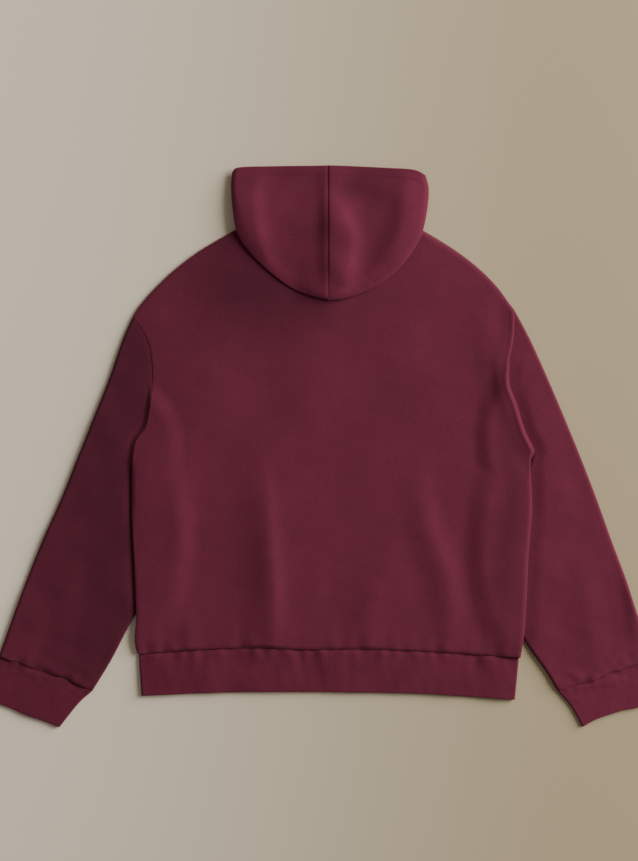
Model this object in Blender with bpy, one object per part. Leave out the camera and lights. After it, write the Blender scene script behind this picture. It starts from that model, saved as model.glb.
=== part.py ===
"""Zip-up hoodie of heavy fleece, laid face down on a flat surface with its hood on its back.

Metres, +Z up.  The floor is z = 0, the garment's centre line is x = 0 and the hem points to -Y.
"Left" and "right" are the wearer's, so the left sleeve is on the -X side.
Sizes in the tables are millimetres: across is along X, along is along Y.
"""
import math
from typing import NamedTuple

import bmesh
import bpy
import numpy as np
from mathutils import Vector

MM = 0.001

# ---- driving dimensions --------------------------------------------------------------------
WALL = 2.2 * MM            # one layer of heavy fleece
RIB_WALL = 2.4 * MM        # doubled rib of the cuffs and the hem band
SEAM_GAP = 0.3 * MM        # between two pieces at a seam
PUFF = 2.2 * MM            # air between the front and the back, away from the seams
PUFF_RAMP = 20.0 * MM      # how far in from a seam that air reaches its full height
SLEEVE_HEIGHT = 5.6 * MM   # a sleeve pressed flat, both layers
BAND_HEIGHT = 2 * RIB_WALL + 2.3 * MM
HOOD_STACK = 7.0 * MM      # the hood's folded layers above the back panel
HOOD_GAP = 1.6 * MM        # both gaps under the hood, with room for the back's curves
FRONT_EDGE = 7.0 * MM      # from the centre line to the edge of each front
NECK_HALF = 105.0 * MM     # from the centre line to the top of the shoulder seam
BACK_NECK = 322.0 * MM     # lowest point of the back neck seam
FRONT_NECK = 259.0 * MM    # lowest point of the front neck seam
NECK_TOP = 345.0 * MM      # where the neck seams meet the shoulder seam
BAND_CLEAR = 10.0 * MM     # no point of the band's outline is nearer its open ends than this

# ---- hood's edges ---------------------------------------------------------------------------
HOOD_TONGUE = 2.0 * MM     # past the neck, the hood's front starts this far from the crown fold
HOOD_LIP = 1.0 * MM        # least depth of that front where it leaves the neck seam
HOOD_RIM = 3.0 * MM        # how far in from the face edge the hood's underside starts to turn up
HOOD_OVER_ZIP = 2.4 * MM   # how much further the slider lifts the hood
BACK_OVER_ZIP = 1.4 * MM   # how much further the slider lifts the back
EDGE_TURN = (0.35, 0.7)    # shares of its height where the face edge starts and ends its turn
OUTER_SHARES = (0.03, 0.96, 9)     # points of the top, from the face edge to the crown fold
INNER_SHARES = (0.03, 1.0, 6)      # points of the underside, from the crown fold to the neck

# ---- zip ----------------------------------------------------------------------------------
TAPE_WIDTH = 13.0 * MM
TAPE_THICK = 0.8 * MM
BEAD_WIDTH = 2.4 * MM      # one side's row of teeth
BEAD_THICK = 2.2 * MM
ZIP_TOP = 256.0 * MM
ZIP_BOTTOM = -362.0 * MM
SLIDER_Y = 248.0 * MM
SLIDER_SIZE = Vector((9.0, 11.0, 1.1)) * MM      # one plate
SLIDER_CHANNEL = 2.8 * MM
SLIDER_BEVEL = 0.35 * MM
SLIDER_POST = (0.9 * MM, 1.6 * MM)               # its radius, and how far in from the edge
TAPE_SPREAD = 1.6 * MM     # how far each tape moves out above the slider
SPREAD_START = 1.0 * MM    # below the slider's middle
SPREAD_RUN = 6.0 * MM
BUMP_REACH = (55.0 * MM, 60.0 * MM)              # how far the slider lifts the cloth around it
BUMP_FLAT = 0.3            # share of that reach at full height
TAPE_LOW = (65.0 * MM, 4)  # the straight stretch ends this far below the slider; its sections
TAPE_HIGH = 60.0 * MM      # the stretch over the bump starts this far below the slider
BRIDGE_WIDTH = 2.4 * MM
BRIDGE_LENGTH = 8.0 * MM
BRIDGE_THICK = 1.0 * MM
BRIDGE_WINDOW = 2.4 * MM
BRIDGE_LEG = 1.6 * MM
PIN_RADIUS = 0.7 * MM
PULL_SIZE = Vector((6.0, 27.0, 1.2)) * MM
PULL_FLOOR = 0.2 * MM
PULL_BEVEL = 0.4 * MM
PIN_OFFSET = 1.0 * MM      # from the slider's middle to the pull's axis
PULL_DROP = 6.0 * MM       # from the axis to the pull's plate
ARM_INSET = 0.7 * MM       # from the pull's side to the middle of an arm
ARM_WIDTH = 1.2 * MM
ARM_NEAR = (0.5 * MM, 0.65 * MM)   # the arm's reach past the axis, and half its height there
ARM_FAR = (1.5 * MM, 0.5 * MM)     # its reach into the plate, and half its height there
BOX_SIZE = Vector((6.5, 7.0, 2.6)) * MM
BOX_BEVEL = 0.5 * MM
TAPE_LIFT = 0.6 * MM       # from a front's inner face to its tape
TAPE_MIDDLE = WALL + TAPE_LIFT + TAPE_THICK / 2
SLIDER_MIDDLE = PULL_FLOOR + BRIDGE_THICK + BRIDGE_WINDOW + SLIDER_SIZE.z + SLIDER_CHANNEL / 2
SLIDER_RISE = SLIDER_MIDDLE - TAPE_MIDDLE        # the slider holds the fronts this far up


class Spot(NamedTuple):
    """A point of an outline, in millimetres."""

    across: float
    along: float


class Fold(NamedTuple):
    """A soft ridge (height above 0) or valley of the back panel, in millimetres."""

    x0: float
    y0: float
    x1: float
    y1: float
    width: float
    height: float


class Lift(NamedTuple):
    """An oval under the body that a sleeve fills, in millimetres."""

    across: float
    along: float
    reach: float
    length: float


class HoodCut(NamedTuple):
    """A section of the hood: its distance from the seam, the crown fold and the face edge."""

    across: float
    fold: float
    edge: float
    drop: float    # how far the top surface falls here to round the side


# ---- outlines, from the neck outwards and downwards --------------------------------------
SHOULDER_LEFT = [Spot(-105, 345), Spot(-146, 322), Spot(-192, 295), Spot(-228, 268),
                 Spot(-257, 241), Spot(-281, 214), Spot(-293, 196)]
SHOULDER_RIGHT = [Spot(105, 345), Spot(146, 322), Spot(189, 295), Spot(224, 268),
                  Spot(251, 241), Spot(268, 218), Spot(278, 205)]
ARMHOLE_LEFT = [Spot(-293, 196), Spot(-271, 159), Spot(-264, 114), Spot(-266, 69),
                Spot(-273, 31), Spot(-289, 6), Spot(-294, -27)]
ARMHOLE_RIGHT = [Spot(278, 205), Spot(278, 165), Spot(272, 126), Spot(270, 94),
                 Spot(281, 63), Spot(293, 24), Spot(309, -9)]
SIDE_LEFT = [Spot(-294, -27), Spot(-294, -104), Spot(-290, -192), Spot(-288, -254),
             Spot(-289, -290), Spot(-284, -311)]
SIDE_RIGHT = [Spot(309, -9), Spot(305, -96), Spot(299, -161), Spot(296, -225),
              Spot(292, -282), Spot(286, -317)]
HEM = [Spot(-284, -311), Spot(-135, -303), Spot(-30, -305), Spot(83, -305),
       Spot(210, -312), Spot(286, -317)]
BAND_TOP = [Spot(-281, -312), Spot(-135, -303), Spot(-30, -305), Spot(83, -305),
            Spot(210, -312), Spot(283, -317)]
BAND_BOTTOM = [Spot(-276, -371), Spot(-160, -368), Spot(-45, -367), Spot(50, -368),
               Spot(146, -370), Spot(277, -378)]
OUTER_LEFT = [Spot(-293, 196), Spot(-309, 160), Spot(-330, 100), Spot(-354, 40),
              Spot(-378, -20), Spot(-402, -80), Spot(-429, -140), Spot(-453, -200),
              Spot(-470, -245), Spot(-486, -290), Spot(-495, -314)]
OUTER_RIGHT = [Spot(278, 205), Spot(302, 160), Spot(329, 100), Spot(354, 40),
               Spot(378, -20), Spot(401, -80), Spot(423, -140), Spot(446, -200),
               Spot(461, -245), Spot(478, -290), Spot(489, -318)]
INNER_LEFT = [Spot(-294, -27), Spot(-288, -52), Spot(-262, -80), Spot(-238, -115),
              Spot(-240, -160), Spot(-262, -210), Spot(-293, -258), Spot(-326, -321),
              Spot(-354, -367)]
INNER_RIGHT = [Spot(309, -9), Spot(300, -40), Spot(272, -72), Spot(246, -115),
               Spot(244, -165), Spot(264, -225), Spot(295, -291), Spot(326, -336),
               Spot(344, -366)]
CUFF_SEAM_LEFT = [Spot(-495, -314), Spot(-468, -324), Spot(-440, -333), Spot(-402, -346),
                  Spot(-354, -367)]
CUFF_SEAM_RIGHT = [Spot(489, -318), Spot(465, -327), Spot(420, -341), Spot(386, -355),
                   Spot(344, -366)]
CUFF_END_LEFT = [Spot(-510, -380), Spot(-477, -392), Spot(-455, -402), Spot(-428, -411),
                 Spot(-403, -421)]
CUFF_END_RIGHT = [Spot(504, -378), Spot(465, -391), Spot(443, -395), Spot(404, -408),
                  Spot(382, -420)]
CUFF_OUTER_LEFT = [Spot(-495, -314), Spot(-505, -345), Spot(-510, -380)]
CUFF_OUTER_RIGHT = [Spot(489, -318), Spot(499, -345), Spot(504, -378)]
CUFF_INNER_LEFT = [Spot(-354, -367), Spot(-375, -386), Spot(-403, -421)]
CUFF_INNER_RIGHT = [Spot(344, -366), Spot(365, -390), Spot(382, -420)]

# ---- where the sleeves lie under the body ---------------------------------------------------
LIFTS = [
    Lift(-294, -142, 98, 140),
    Lift(-292, 0, 66, 74),
    Lift(306, -150, 100, 145),
    Lift(300, 12, 70, 94),
]
LIFT_FALL = 0.26           # how far past an oval the body comes back down, as a share of it

# ---- the back panel's largest folds -------------------------------------------------------
FOLDS = [
    Fold(-106, -60, -97, -302, 16, -0.8),
    Fold(-76, -100, -44, -290, 24, 1.8),
    Fold(-26, -210, -3, -300, 14, -0.8),
    Fold(108, -76, 166, -244, 17, -0.8),
    Fold(141, -76, 197, -244, 22, 1.8),
    Fold(242, -125, 240, -300, 16, -0.8),
    Fold(-252, -10, -250, -130, 18, -0.5),
    Fold(238, 140, 258, 25, 22, -0.8),
]

# ---- hood ---------------------------------------------------------------------------------
HOOD_LEFT = [HoodCut(0.15, 220, 421, 0), HoodCut(30, 227, 420, 0), HoodCut(58, 241, 419, 0),
             HoodCut(84, 259, 418, 0), HoodCut(105, 279, 417, 0), HoodCut(118, 293, 417, 0.5),
             HoodCut(129, 309, 417, 1.2), HoodCut(137, 327, 416, 2.5),
             HoodCut(141, 356, 415, 4.0), HoodCut(143.5, 384, 410, 6.0)]
HOOD_RIGHT = [HoodCut(0.15, 219, 421, 0), HoodCut(30, 223, 419, 0), HoodCut(58, 234, 417, 0),
              HoodCut(84, 249, 416, 0), HoodCut(105, 267, 415, 0), HoodCut(119, 283, 414, 0.5),
              HoodCut(132, 303, 412, 1.2), HoodCut(141, 333, 408, 2.5),
              HoodCut(146, 358, 404, 4.0), HoodCut(148.5, 380, 394, 6.0)]
NECK_STATIONS = (30, 58, 84, 105)    # where both neck seams and the hood have points

# ---- mesh density ---------------------------------------------------------------------------
ARMHOLE_STEPS = 10         # also across a sleeve and a cuff
SIDE_STEPS = 12
SHOULDER_STEPS = 8
SLEEVE_ROWS = 16
CUFF_ROWS = 3
BAND_STEPS = 16
ZIP_ROWS = 16

# ---- colours and finishes: linear RGB, roughness, metallic --------------------------------
FLEECE = ("fleece", (0.110, 0.018, 0.031), 0.95, 0.0)
RIB = ("rib", (0.098, 0.016, 0.028), 0.92, 0.0)
TAPE = ("zip_tape", (0.085, 0.014, 0.025), 0.85, 0.0)
METAL = ("zip_metal", (0.45, 0.44, 0.43), 0.32, 1.0)


# ---- outline helpers ----------------------------------------------------------------------
def metres(spots):
    """Return a table of spots as an array of points in metres."""
    return np.array([(s.across, s.along) for s in spots]) * MM


def smooth(points, steps):
    """Sample a smooth line through the points at even distances along it."""
    points = np.asarray(points, float)
    ends = np.vstack([2 * points[0] - points[1], points, 2 * points[-1] - points[-2]])
    fine = []
    for a, b, c, d in zip(ends[:-3], ends[1:-2], ends[2:-1], ends[3:]):
        for t in np.linspace(0, 1, 12, endpoint=False):
            fine.append(0.5 * (2 * b + (c - a) * t + (2 * a - 5 * b + 4 * c - d) * t ** 2
                               + (3 * b - a - 3 * c + d) * t ** 3))
    fine.append(points[-1])
    fine = np.array(fine)
    run = np.concatenate([[0], np.cumsum(np.linalg.norm(np.diff(fine, axis=0), axis=1))])
    want = np.linspace(0, run[-1], steps + 1)
    return np.column_stack([np.interp(want, run, fine[:, k]) for k in (0, 1)])


def at_fractions(points, fractions):
    """Sample the line through the points at the given fractions of its length."""
    fine = smooth(points, 200)
    want = np.asarray(fractions) * 200
    return np.column_stack([np.interp(want, np.arange(201), fine[:, k]) for k in (0, 1)])


def length_fractions(line):
    """Return how far along the line each of its points is, from 0 to 1."""
    run = np.concatenate([[0], np.cumsum(np.linalg.norm(np.diff(line, axis=0), axis=1))])
    return run / run[-1]


def moved_sideways(line, distance):
    """Move a line to its own left by a distance."""
    step = np.gradient(line, axis=0)
    step /= np.linalg.norm(step, axis=1)[:, None]
    return line + distance * np.column_stack([-step[:, 1], step[:, 0]])


def patch(top, bottom, left, right):
    """Fill four edge lines with a grid of points, rows from top to bottom."""
    u = length_fractions(top)[None, :, None]
    v = length_fractions(left)[:, None, None]
    across = (1 - u) * left[:, None, :] + u * right[:, None, :]
    along = (1 - v) * top[None, :, :] + v * bottom[None, :, :]
    corners = ((1 - u) * (1 - v) * top[0] + u * (1 - v) * top[-1]
               + (1 - u) * v * bottom[0] + u * v * bottom[-1])
    return across + along - corners


def smoothstep(value):
    """Ease from 0 to 1."""
    value = min(max(value, 0.0), 1.0)
    return value * value * (3 - 2 * value)


# ---- heights ------------------------------------------------------------------------------
def sleeve_lift(x, y):
    """Return how high the body is held by the sleeve lying under it."""
    lift = 0.0
    for oval in LIFTS:
        reach = math.hypot((x - oval.across * MM) / (oval.reach * MM),
                           (y - oval.along * MM) / (oval.length * MM))
        lift = max(lift, 1 - smoothstep((reach - 1) / LIFT_FALL))
    return lift * (SLEEVE_HEIGHT + SEAM_GAP)


def slider_bump(x, y):
    """Return a soft bump, 0 to 1, over the zip's slider."""
    reach = math.hypot(x / BUMP_REACH[0], (y - SLIDER_Y) / BUMP_REACH[1])
    return 1 - smoothstep((reach - BUMP_FLAT) / (1 - BUMP_FLAT))


def front_floor(x, y):
    """Return the height of the underside of the fronts."""
    return sleeve_lift(x, y) + SLIDER_RISE * slider_bump(x, y)


def fold_height(x, y):
    """Return the height of the back panel's folds."""
    total = 0.0
    for fold in FOLDS:
        start = Vector((fold.x0, fold.y0)) * MM
        end = Vector((fold.x1, fold.y1)) * MM
        line = end - start
        t = max(0.0, min(1.0, (Vector((x, y)) - start).dot(line) / line.length_squared))
        away = (Vector((x, y)) - start - line * t).length / (fold.width * MM)
        total += fold.height * MM * math.exp(-away * away)
    return total


def back_floor(x, y, edge_distance):
    """Return the height of the underside of the back panel."""
    air = smoothstep(edge_distance / PUFF_RAMP)
    over_zip = BACK_OVER_ZIP * slider_bump(x, y)
    return front_floor(x, y) + WALL + SEAM_GAP + air * (PUFF + fold_height(x, y)) + over_zip


# ---- mesh helpers -------------------------------------------------------------------------
def clear_scene():
    """Remove everything that the file opened with."""
    for item in list(bpy.data.objects):
        bpy.data.objects.remove(item, do_unlink=True)


def material(finish):
    """Return the named Principled material, made once."""
    name, colour, roughness, metallic = finish
    found = bpy.data.materials.get(name)
    if found:
        return found
    made = bpy.data.materials.new(name)
    made.use_nodes = True
    shader = made.node_tree.nodes["Principled BSDF"]
    shader.inputs["Base Color"].default_value = (*colour, 1.0)
    shader.inputs["Roughness"].default_value = roughness
    shader.inputs["Metallic"].default_value = metallic
    return made


def finish_object(name, bm, finish, collection):
    """Turn a bmesh into a named object with outward faces and its material."""
    bmesh.ops.recalc_face_normals(bm, faces=bm.faces)
    mesh = bpy.data.meshes.new(name)
    bm.to_mesh(mesh)
    bm.free()
    made = bpy.data.objects.new(name, mesh)
    collection.objects.link(made)
    mesh.materials.append(material(finish))
    return made


def panel(name, grid, floor, finish, collection):
    """Make a flat-cut panel from a grid of places: a wall standing on the floor function."""
    rows, columns = grid.shape[0] - 1, grid.shape[1] - 1
    bm = bmesh.new()
    bmesh.ops.create_grid(bm, x_segments=columns, y_segments=rows, size=1.0)
    for vert in bm.verts:
        column = round((vert.co.x + 1) / 2 * columns)
        row = round((1 - vert.co.y) / 2 * rows)
        x, y = grid[row, column]
        vert.co = (x, y, floor[row, column])
    bmesh.ops.triangulate(bm, faces=bm.faces[:], quad_method="FIXED")
    kept = bmesh.ops.extrude_face_region(bm, geom=bm.faces[:], use_keep_orig=True)
    lifted = [item for item in kept["geom"] if isinstance(item, bmesh.types.BMVert)]
    bmesh.ops.translate(bm, verts=lifted, vec=(0, 0, WALL))
    return finish_object(name, bm, finish, collection)


def skin(name, sections, closed, finish, collection):
    """Loft a solid through closed sections; a closed run of sections joins its own start."""
    bm = bmesh.new()
    rings = [[bm.verts.new(point) for point in section] for section in sections]
    pairs = list(zip(rings[:-1], rings[1:]))
    if closed:
        pairs.append((rings[-1], rings[0]))
    for near, far in pairs:
        for k in range(len(near)):
            after = (k + 1) % len(near)
            bm.faces.new((near[k], near[after], far[after], far[k]))
    if not closed:
        bm.faces.new(rings[0])
        bm.faces.new(rings[-1])
    return finish_object(name, bm, finish, collection)


def flat_tube(name, grid, height, wall, finish, collection):
    """Make a tube pressed flat; the grid's rows run across it, from one end to the other."""
    radius = height / 2
    columns = []
    for k in range(grid.shape[1]):
        for side in (1, -1):
            if k in (0, grid.shape[1] - 1) and side == -1:
                continue
            columns.append((k, side))
    top = [c for c in columns if c[1] == 1]
    under = [c for c in reversed(columns) if c[1] == -1]
    sections = []
    last = grid.shape[1] - 1
    for k, side in top + under:
        outer, inner = [], []
        for row in grid:
            across = row[min(k + 1, last)] - row[max(k - 1, 0)]
            across /= np.linalg.norm(across)
            inward = {0: across, last: -across}.get(k, np.zeros(2))
            z_out = radius if k in (0, last) else radius * (1 + side)
            z_in = radius if k in (0, last) else radius + side * (radius - wall)
            outer.append((*row[k], z_out))
            inner.append((*(row[k] + inward * wall), z_in))
        sections.append(outer + inner[::-1])
    return skin(name, sections, True, finish, collection)


def edge_rounded(grid, inset):
    """Add a column just inside each edge of a grid, so that a tube's fold is rounded."""
    first = grid[:, 1] - grid[:, 0]
    final = grid[:, -2] - grid[:, -1]
    first = grid[:, 0] + inset * first / np.linalg.norm(first, axis=1)[:, None]
    final = grid[:, -1] + inset * final / np.linalg.norm(final, axis=1)[:, None]
    return np.concatenate([grid[:, :1], first[:, None], grid[:, 1:-1],
                           final[:, None], grid[:, -1:]], axis=1)


# ---- body ---------------------------------------------------------------------------------
def side_line(armhole, side):
    """Join an armhole and a side seam into one edge of the body."""
    upper = smooth(metres(armhole), ARMHOLE_STEPS)
    lower = smooth(metres(side), SIDE_STEPS)
    return np.vstack([upper, lower[1:]])


def neck_height(x, lowest):
    """Return how far along a neck seam is at a distance from the centre line."""
    return lowest + (NECK_TOP - lowest) * (abs(x) / NECK_HALF) ** 2


def neck_line(side, lowest):
    """Return a neck seam's points on one side, from the shoulder towards the centre line."""
    return np.array([(side * x * MM, neck_height(x * MM, lowest))
                     for x in reversed(NECK_STATIONS)])


def hem_under(line, start, end):
    """Return points of the hem seam, from start to end, spaced as a top edge's points are."""
    fine = smooth(metres(HEM), 200)
    share = (line[:, 0] - line[0, 0]) / (line[-1, 0] - line[0, 0])
    xs = start + share * (end - start)
    return np.column_stack([xs, np.interp(xs, fine[:, 0], fine[:, 1])])


def back_grid():
    """Return the places of the back panel's points."""
    left = moved_sideways(side_line(ARMHOLE_LEFT, SIDE_LEFT), SEAM_GAP / 2)
    right = moved_sideways(side_line(ARMHOLE_RIGHT, SIDE_RIGHT), -SEAM_GAP / 2)
    shoulder_left = smooth(metres(SHOULDER_LEFT), SHOULDER_STEPS)[::-1]
    shoulder_right = smooth(metres(SHOULDER_RIGHT), SHOULDER_STEPS)
    neck_left = neck_line(-1, BACK_NECK)[1:]
    neck_right = neck_line(1, BACK_NECK)[:0:-1]
    top = np.vstack([shoulder_left, neck_left, [(0.0, BACK_NECK)], neck_right, shoulder_right])
    top[0], top[-1] = left[0], right[0]
    bottom = hem_under(top, left[-1, 0], right[-1, 0])
    bottom[0], bottom[-1] = left[-1], right[-1]
    return patch(top, bottom, left, right)


def front_grid(side, back):
    """Return the places of one front's points; side is -1 for left and 1 for right.

    Under the shoulder it has the back's own points, and from there a fill to the zip.
    """
    beside = (back if side < 0 else back[:, ::-1])[:, :SHOULDER_STEPS + 1]
    middle = (side * FRONT_EDGE, neck_height(FRONT_EDGE, FRONT_NECK))
    top = np.vstack([neck_line(side, FRONT_NECK), [middle]])
    outer = beside[:, -1]
    bottom = hem_under(top, outer[-1, 0], side * FRONT_EDGE)
    top[0], bottom[0] = outer[0], outer[-1]
    inner = np.array([top[-1] + (bottom[-1] - top[-1]) * t for t in length_fractions(outer)])
    grid = np.concatenate([beside, patch(top, bottom, outer, inner)[:, 1:]], axis=1)
    return grid if side < 0 else grid[:, ::-1]


def seam_distances(grid):
    """Return how far each point of the back is from the side and shoulder seams."""
    seams = [grid[:, 0], grid[:, -1], grid[0, :SHOULDER_STEPS + 1],
             grid[0, -SHOULDER_STEPS - 1:]]
    spots = np.vstack(seams)
    return np.linalg.norm(grid[:, :, None, :] - spots[None, None], axis=3).min(axis=2)


def build_body(collection):
    """Build the back and the two fronts."""
    back = back_grid()
    far = seam_distances(back)
    floor = np.array([[back_floor(*place, distance) for place, distance in zip(row, distances)]
                      for row, distances in zip(back, far)])
    panel("back", back, floor, FLEECE, collection)
    for name, side in (("front_left", -1), ("front_right", 1)):
        grid = front_grid(side, back)
        floor = np.array([[front_floor(*place) for place in row] for row in grid])
        panel(name, grid, floor, FLEECE, collection)


# ---- sleeves and cuffs --------------------------------------------------------------------
def sleeve_grid(armhole, outer, inner, seam, side):
    """Return the places of a sleeve's points, rows across it from the armhole to the cuff."""
    head = moved_sideways(smooth(metres(armhole), ARMHOLE_STEPS), side * SEAM_GAP / 2)
    end = smooth(metres(seam), ARMHOLE_STEPS)
    outer_line = smooth(metres(outer), SLEEVE_ROWS)
    inner_line = smooth(metres(inner), SLEEVE_ROWS)
    outer_line[0], inner_line[0] = head[0], head[-1]
    return patch(head, end, outer_line, inner_line)


def cuff_grid(seam, end, outer, inner):
    """Return the places of a cuff's points, rows across it from its seam to its open end."""
    head = smooth(metres(seam), ARMHOLE_STEPS)
    tail = smooth(metres(end), ARMHOLE_STEPS)
    down = tail - head
    down /= np.linalg.norm(down, axis=1)[:, None]
    outer_line = smooth(metres(outer), CUFF_ROWS)
    inner_line = smooth(metres(inner), CUFF_ROWS)
    grid = patch(head, tail, outer_line, inner_line)
    grid[0] += down * SEAM_GAP
    return grid


def build_arms(collection):
    """Build both sleeves and both cuffs."""
    inset = SLEEVE_HEIGHT / 2
    left = sleeve_grid(ARMHOLE_LEFT, OUTER_LEFT, INNER_LEFT, CUFF_SEAM_LEFT, -1)
    right = sleeve_grid(ARMHOLE_RIGHT, OUTER_RIGHT, INNER_RIGHT, CUFF_SEAM_RIGHT, 1)
    for name, grid in (("sleeve_left", left), ("sleeve_right", right)):
        flat_tube(name, edge_rounded(grid, inset), SLEEVE_HEIGHT, WALL, FLEECE, collection)
    left = cuff_grid(CUFF_SEAM_LEFT, CUFF_END_LEFT, CUFF_OUTER_LEFT, CUFF_INNER_LEFT)
    right = cuff_grid(CUFF_SEAM_RIGHT, CUFF_END_RIGHT, CUFF_OUTER_RIGHT, CUFF_INNER_RIGHT)
    for name, grid in (("cuff_left", left), ("cuff_right", right)):
        flat_tube(name, edge_rounded(grid, inset), SLEEVE_HEIGHT, RIB_WALL, RIB, collection)


# ---- hem band -----------------------------------------------------------------------------
def build_band(collection):
    """Build the hem band: one strip folded at both sides and open at the zip."""
    top = smooth(metres(BAND_TOP), BAND_STEPS) - (0, SEAM_GAP)
    bottom = smooth(metres(BAND_BOTTOM), BAND_STEPS)
    radius = BAND_HEIGHT / 2
    gap = FRONT_EDGE + SEAM_GAP
    route = []
    half = [k for k in range(BAND_STEPS + 1) if top[k, 0] < -gap - BAND_CLEAR]
    other = [k for k in range(BAND_STEPS + 1) if top[k, 0] > gap + BAND_CLEAR]
    route.append((-gap, None, 0.0))
    route += [(None, k, 0.0) for k in reversed(half[1:])]
    route.append((None, 0, "start"))
    route += [(None, k, BAND_HEIGHT) for k in range(1, BAND_STEPS)]
    route.append((None, BAND_STEPS, "start"))
    route += [(None, k, 0.0) for k in reversed(other[:-1])]
    route.append((gap, None, 0.0))
    sections = []
    for x, k, z in route:
        places = []
        for line in (top, bottom):
            if k is None:
                places.append(np.array((x, np.interp(x, line[:, 0], line[:, 1]))))
            else:
                places.append(line[k])
        at_fold = z == "start"
        inward = 0.0
        if at_fold:
            inward = RIB_WALL if k == 0 else -RIB_WALL
        z_out = radius if at_fold else z
        z_in = radius if at_fold else (RIB_WALL if z == 0.0 else z - RIB_WALL)
        outer = [(*place, z_out) for place in places]
        inner = [(place[0] + inward, place[1], z_in) for place in places]
        sections.append(outer + inner[::-1])
    skin("hem_band", sections, False, RIB, collection)


# ---- hood ---------------------------------------------------------------------------------
def shoulder_height(x):
    """Return how far along the shoulder seam is at a distance across."""
    line = metres(SHOULDER_LEFT)[::-1] if x < 0 else metres(SHOULDER_RIGHT)
    return float(np.interp(x, line[:, 0], line[:, 1]))


def hood_section(side, cut):
    """Return one closed section of half the hood, in a plane across the garment."""
    x = side * cut.across * MM
    fold, edge, drop = cut.fold * MM, cut.edge * MM, cut.drop * MM
    if cut.across <= NECK_STATIONS[-1]:
        tongue = neck_height(x, FRONT_NECK) + SEAM_GAP
        slot = neck_height(x, BACK_NECK) + SEAM_GAP
    else:
        tongue = max(shoulder_height(x) + SEAM_GAP, fold + HOOD_TONGUE)
        slot = tongue
    slot = max(slot, tongue + HOOD_LIP)
    points = [(tongue, 0.0), ((tongue + edge) / 2, 0.0), (edge - HOOD_RIM, 0.0)]
    rest = 2 * WALL + PUFF + HOOD_GAP

    def under(y):
        return rest + front_floor(x, y) + HOOD_OVER_ZIP * slider_bump(x, y)

    def over(y):
        return under(y) + HOOD_STACK - drop

    points += [(edge, over(edge) * share) for share in EDGE_TURN]
    for share in np.linspace(*OUTER_SHARES):
        y = edge + (fold - edge) * share
        points.append((y, over(y)))
    points += [(fold, under(fold) + (HOOD_STACK - drop) / 2)]
    for share in np.linspace(*INNER_SHARES):
        y = fold + (slot - fold) * share
        points.append((y, under(y)))
    lip = WALL + front_floor(x, slot)
    points += [(slot, lip), ((slot + tongue) / 2, lip), (tongue, lip)]
    return [(x, y, z) for y, z in points]


def build_hood(collection):
    """Build both halves of the hood, folded down on the back."""
    for name, side, cuts in (("hood_left", -1, HOOD_LEFT), ("hood_right", 1, HOOD_RIGHT)):
        skin(name, [hood_section(side, cut) for cut in cuts], False, FLEECE, collection)


# ---- zip ----------------------------------------------------------------------------------
def tape_section(side, y):
    """Return one section of a zip tape with its row of teeth as a bead along its edge."""
    middle = SLIDER_RISE * slider_bump(0.0, y) + TAPE_MIDDLE
    parting = smoothstep((y - SLIDER_Y + SPREAD_START) / SPREAD_RUN)
    apart = SEAM_GAP / 2 + TAPE_SPREAD * parting
    bead = [(0, -BEAD_THICK / 2), (BEAD_WIDTH, -BEAD_THICK / 2), (BEAD_WIDTH, -TAPE_THICK / 2),
            (TAPE_WIDTH, -TAPE_THICK / 2), (TAPE_WIDTH, TAPE_THICK / 2),
            (BEAD_WIDTH, TAPE_THICK / 2), (BEAD_WIDTH, BEAD_THICK / 2), (0, BEAD_THICK / 2)]
    return [(side * (apart + across), y, middle + up) for across, up in bead]


def build_tapes(collection):
    """Build the two zip tapes, from the hem to the neck."""
    low = np.linspace(ZIP_BOTTOM, SLIDER_Y - TAPE_LOW[0], TAPE_LOW[1])
    high = np.linspace(SLIDER_Y - TAPE_HIGH, ZIP_TOP, ZIP_ROWS)
    for name, side in (("zip_tape_left", -1), ("zip_tape_right", 1)):
        sections = [tape_section(side, y) for y in np.concatenate([low, high])]
        skin(name, sections, False, TAPE, collection)


def block(name, centre, size, collection, bevel=0.0):
    """Make a box with optionally rounded edges."""
    bm = bmesh.new()
    bmesh.ops.create_cube(bm, size=1.0)
    bmesh.ops.scale(bm, verts=bm.verts, vec=size)
    bmesh.ops.translate(bm, verts=bm.verts, vec=centre)
    if bevel:
        bmesh.ops.bevel(bm, geom=bm.edges[:], offset=bevel, segments=2, affect="EDGES",
                        profile=0.5)
    return finish_object(name, bm, METAL, collection)


def rod(name, centre, radius, length, axis, collection):
    """Make a round rod along X or Z."""
    bm = bmesh.new()
    bmesh.ops.create_cone(bm, cap_ends=True, segments=16, radius1=radius, radius2=radius,
                          depth=length)
    if axis == "X":
        turn = Vector((0, 0, 1)).rotation_difference(Vector((1, 0, 0))).to_matrix()
        bmesh.ops.rotate(bm, verts=bm.verts, cent=(0, 0, 0), matrix=turn)
    bmesh.ops.translate(bm, verts=bm.verts, vec=centre)
    return finish_object(name, bm, METAL, collection)


def fuse(main, others):
    """Join solids into the first one, as one closed body."""
    for other in others:
        step = main.modifiers.new("join_" + other.name, "BOOLEAN")
        step.operation = "UNION"
        step.solver = "EXACT"
        step.object = other
    bpy.context.view_layer.update()
    done = bpy.data.meshes.new_from_object(
        main.evaluated_get(bpy.context.evaluated_depsgraph_get()))
    main.modifiers.clear()
    main.data = done
    for other in others:
        bpy.data.objects.remove(other, do_unlink=True)


def set_origin(item, place):
    """Move an object's origin to a place without moving its shape."""
    for vert in item.data.vertices:
        vert.co -= place
    item.location = place


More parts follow.
